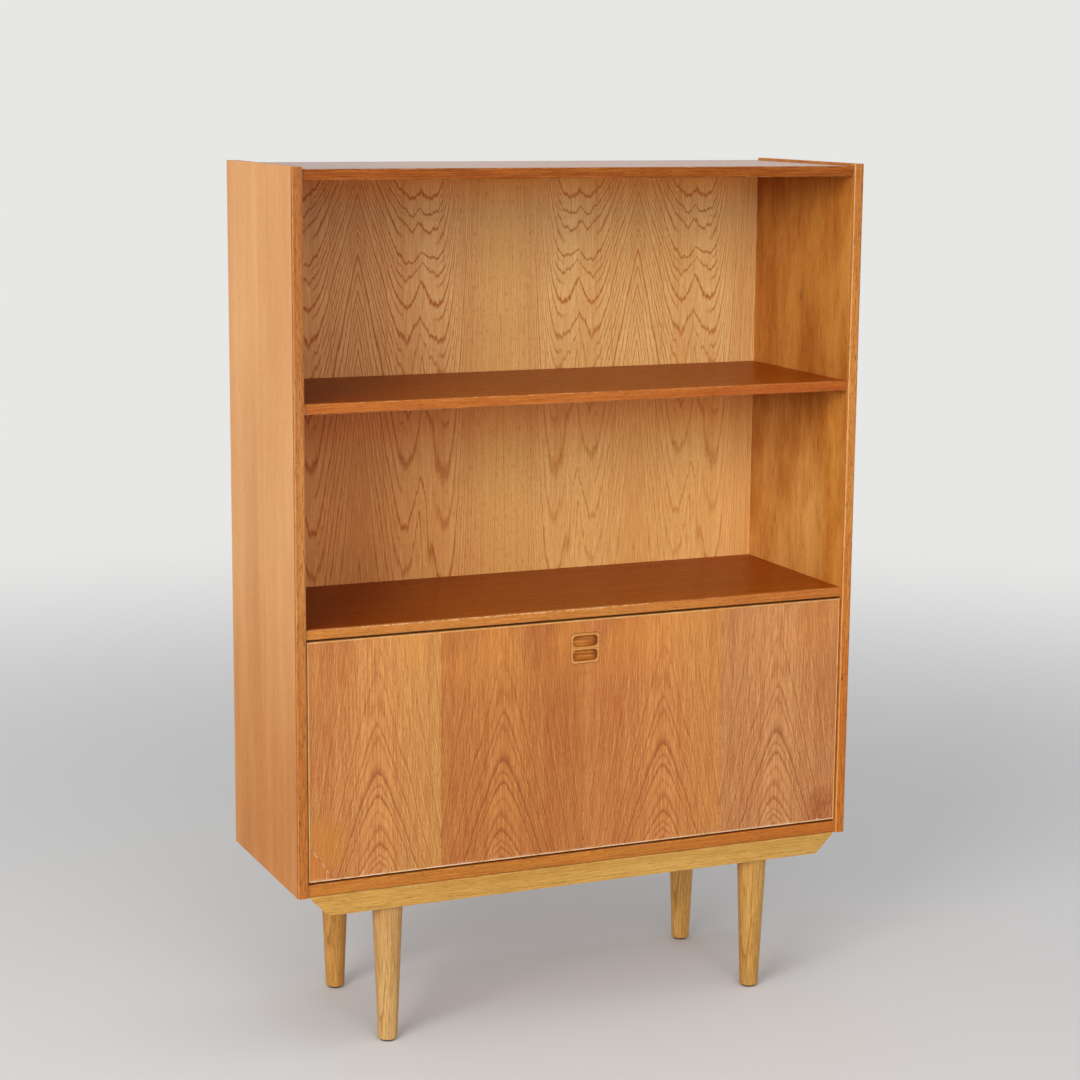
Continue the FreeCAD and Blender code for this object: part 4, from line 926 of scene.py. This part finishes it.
plainFinish = {"specks": 0.5, "grainSize": 0.0006, "metal": 0.0, "bump": 0.00005}
finishes = {
    "brightSteel": {
        "clean": (196, 196, 194), "dull": (158, 158, 156), "speck": (96, 84, 70), "seed": 1.0,
        "roughness": 0.24, "hairlines": 0.18, "metal": 1.0, "bump": 0.00002,
        "on": ("stay_bracket_", "stay_rivet_", "stay_rod_", "stay_stop_", "stay_post_", "stay_guide_",
               "strike_", "flap_pivot_pin_", "back_sheet_screws", "catch_screws", "base_screws")},
    "magnetSteel": {
        "clean": (120, 120, 122), "dull": (92, 92, 94), "speck": (60, 56, 50), "specks": 0.4,
        "grainSize": 0.0005, "seed": 2.0, "roughness": 0.38, "hairlines": 0.2, "metal": 1.0,
        "bump": 0.00003, "on": ("catch_magnet",)},
    "brass": {
        "clean": (214, 172, 92), "dull": (176, 132, 62), "speck": (110, 76, 36), "seed": 3.0,
        "roughness": 0.28, "hairlines": 0.16, "metal": 1.0, "bump": 0.00002,
        "on": ("flap_pivot_bush_", "shelf_pins")},
    "brownPlastic": {
        "clean": (74, 48, 32), "dull": (88, 62, 44), "speck": (120, 96, 74), "specks": 0.3,
        "grainSize": 0.0004, "seed": 4.0, "roughness": 0.42, "hairlines": 0.1, "bump": 0.00004,
        "on": ("catch_case",)},
    "blackNylon": {
        "clean": (38, 34, 31), "dull": (56, 50, 45), "speck": (128, 116, 100), "specks": 0.45,
        "seed": 5.0, "roughness": 0.5, "hairlines": 0.12, "on": ("glide_",)},
    "beech": {
        "clean": (214, 178, 136), "dull": (198, 158, 114), "speck": (150, 104, 66), "grainSize": 0.0009,
        "seed": 6.0, "roughness": 0.55, "hairlines": 0.15, "on": ("carcass_dowels", "base_dowels")},
}
for finish, look in finishes.items():
    material = fittingMaterial(finish, {**plainFinish, **look})
    for name, thing in nodes.items():
        if name.startswith(look["on"]):
            dress(thing, material)
print("fittings dressed")

# floor, light and camera
studio = {
    "floorColour": (222, 221, 219), "floorShade": (208, 207, 205), "floorRoughness": 0.9, "floorRadius": 30,
    "farColour": (0.80, 0.80, 0.79, 1), "fadeReach": (1.1, 4.2),
    "worldColour": (0.92, 0.95, 1.0, 1), "worldStrength": 0.5,
    "lamps": {
        "key": {"at": (-4.0, -3.2, 2.6), "aim": (0, 0, 0.7), "size": 2.6, "power": 160,
                "colour": (1.0, 0.97, 0.93)},
        "fill": {"at": (-0.6, -4.9, 2.5), "aim": (0, 0, 0.7), "size": 3.2, "power": 84,
                 "colour": (0.97, 0.98, 1.0)},
        "top": {"at": (0, -0.6, 4.2), "aim": (0, 0.2, 0), "size": 3.0, "power": 20,
                "colour": (1.0, 1.0, 1.0)},
    },
}
scene = bpy.context.scene
for name, settings in studio["lamps"].items():
    lamp = bpy.data.lights.new(name + "Lamp", "AREA")
    lamp.shape = "SQUARE"
    lamp.size, lamp.energy, lamp.color = settings["size"], settings["power"], settings["colour"]
    stand = bpy.data.objects.new(name + "Lamp", lamp)
    stand.location = settings["at"]
    stand.rotation_mode = "QUATERNION"
    stand.rotation_quaternion = (Vector(settings["aim"]) - Vector(settings["at"])).to_track_quat("-Z", "Y")
    scene.collection.objects.link(stand)


# what the camera, gloss and glass see behind the cabinet; everything else is lit by worldColour
def seenBehind(tree):
    rays = place(tree, "ShaderNodeLightPath").outputs
    return larger(larger(rays["Is Camera Ray"], rays["Is Glossy Ray"]), rays["Is Transmission Ray"])


world = bpy.data.worlds.new("studioWorld")
world.use_nodes = True
tree = world.node_tree
tree.nodes.clear()
lighting = place(tree, "ShaderNodeBackground", {"Color": studio["worldColour"],
                                                "Strength": studio["worldStrength"]})
behind = place(tree, "ShaderNodeBackground", {"Color": studio["farColour"], "Strength": 1.0})
mixed = place(tree, "ShaderNodeMixShader", {0: seenBehind(tree), 1: lighting.outputs[0],
                                            2: behind.outputs[0]})
place(tree, "ShaderNodeOutputWorld", {"Surface": mixed.outputs[0]})
scene.world = world

# a wide level floor that fades into the pale background around the cabinet
bpy.ops.mesh.primitive_circle_add(vertices=96, radius=studio["floorRadius"], fill_type="NGON")
floor = bpy.context.object
floor.name = "floor"
paper, shader, where = newMaterial("paleFloor")
tree = paper.node_tree
shade = times(noise(where, 3.0, 4), 0.08)
shade = blend(shade, paint(*studio["floorColour"]), paint(*studio["floorShade"]))
feed(shader.inputs, {"Base Color": shade, "Roughness": studio["floorRoughness"]})
fade = times(soften(vectorSums("LENGTH", where, result="Value"), *studio["fadeReach"]), seenBehind(tree))
far = place(tree, "ShaderNodeEmission", {"Color": studio["farColour"], "Strength": 1.0})
mixed = place(tree, "ShaderNodeMixShader", {0: fade, 1: shader.outputs[0], 2: far.outputs[0]})
feed(tree.nodes["Material Output"].inputs, {"Surface": mixed.outputs[0]})
dress(floor, paper)

camera = {
    "lens": 83.65, "at": (-1.514505, -3.453885, 1.395546), "turn": -0.4110246, "pitch": -0.1790982,
    "roll": -0.0082770,
}
lens = bpy.data.cameras.new("camera")
lens.sensor_width = 36.0
lens.lens = camera["lens"]
lens.clip_end = 60.0
viewer = bpy.data.objects.new("camera", lens)
turned = (Matrix.Rotation(camera["turn"], 3, "Z") @ Matrix.Rotation(camera["pitch"], 3, "X")
          @ Matrix.Rotation(camera["roll"], 3, "Y"))
right, forward, up = turned.col
facing = Matrix((right, up, -forward)).transposed().to_4x4()
viewer.matrix_world = Matrix.Translation(camera["at"]) @ facing
scene.collection.objects.link(viewer)
scene.camera = viewer
scene.view_settings.view_transform = "Standard"
print("studio ready")

bpy.context.view_layer.update()
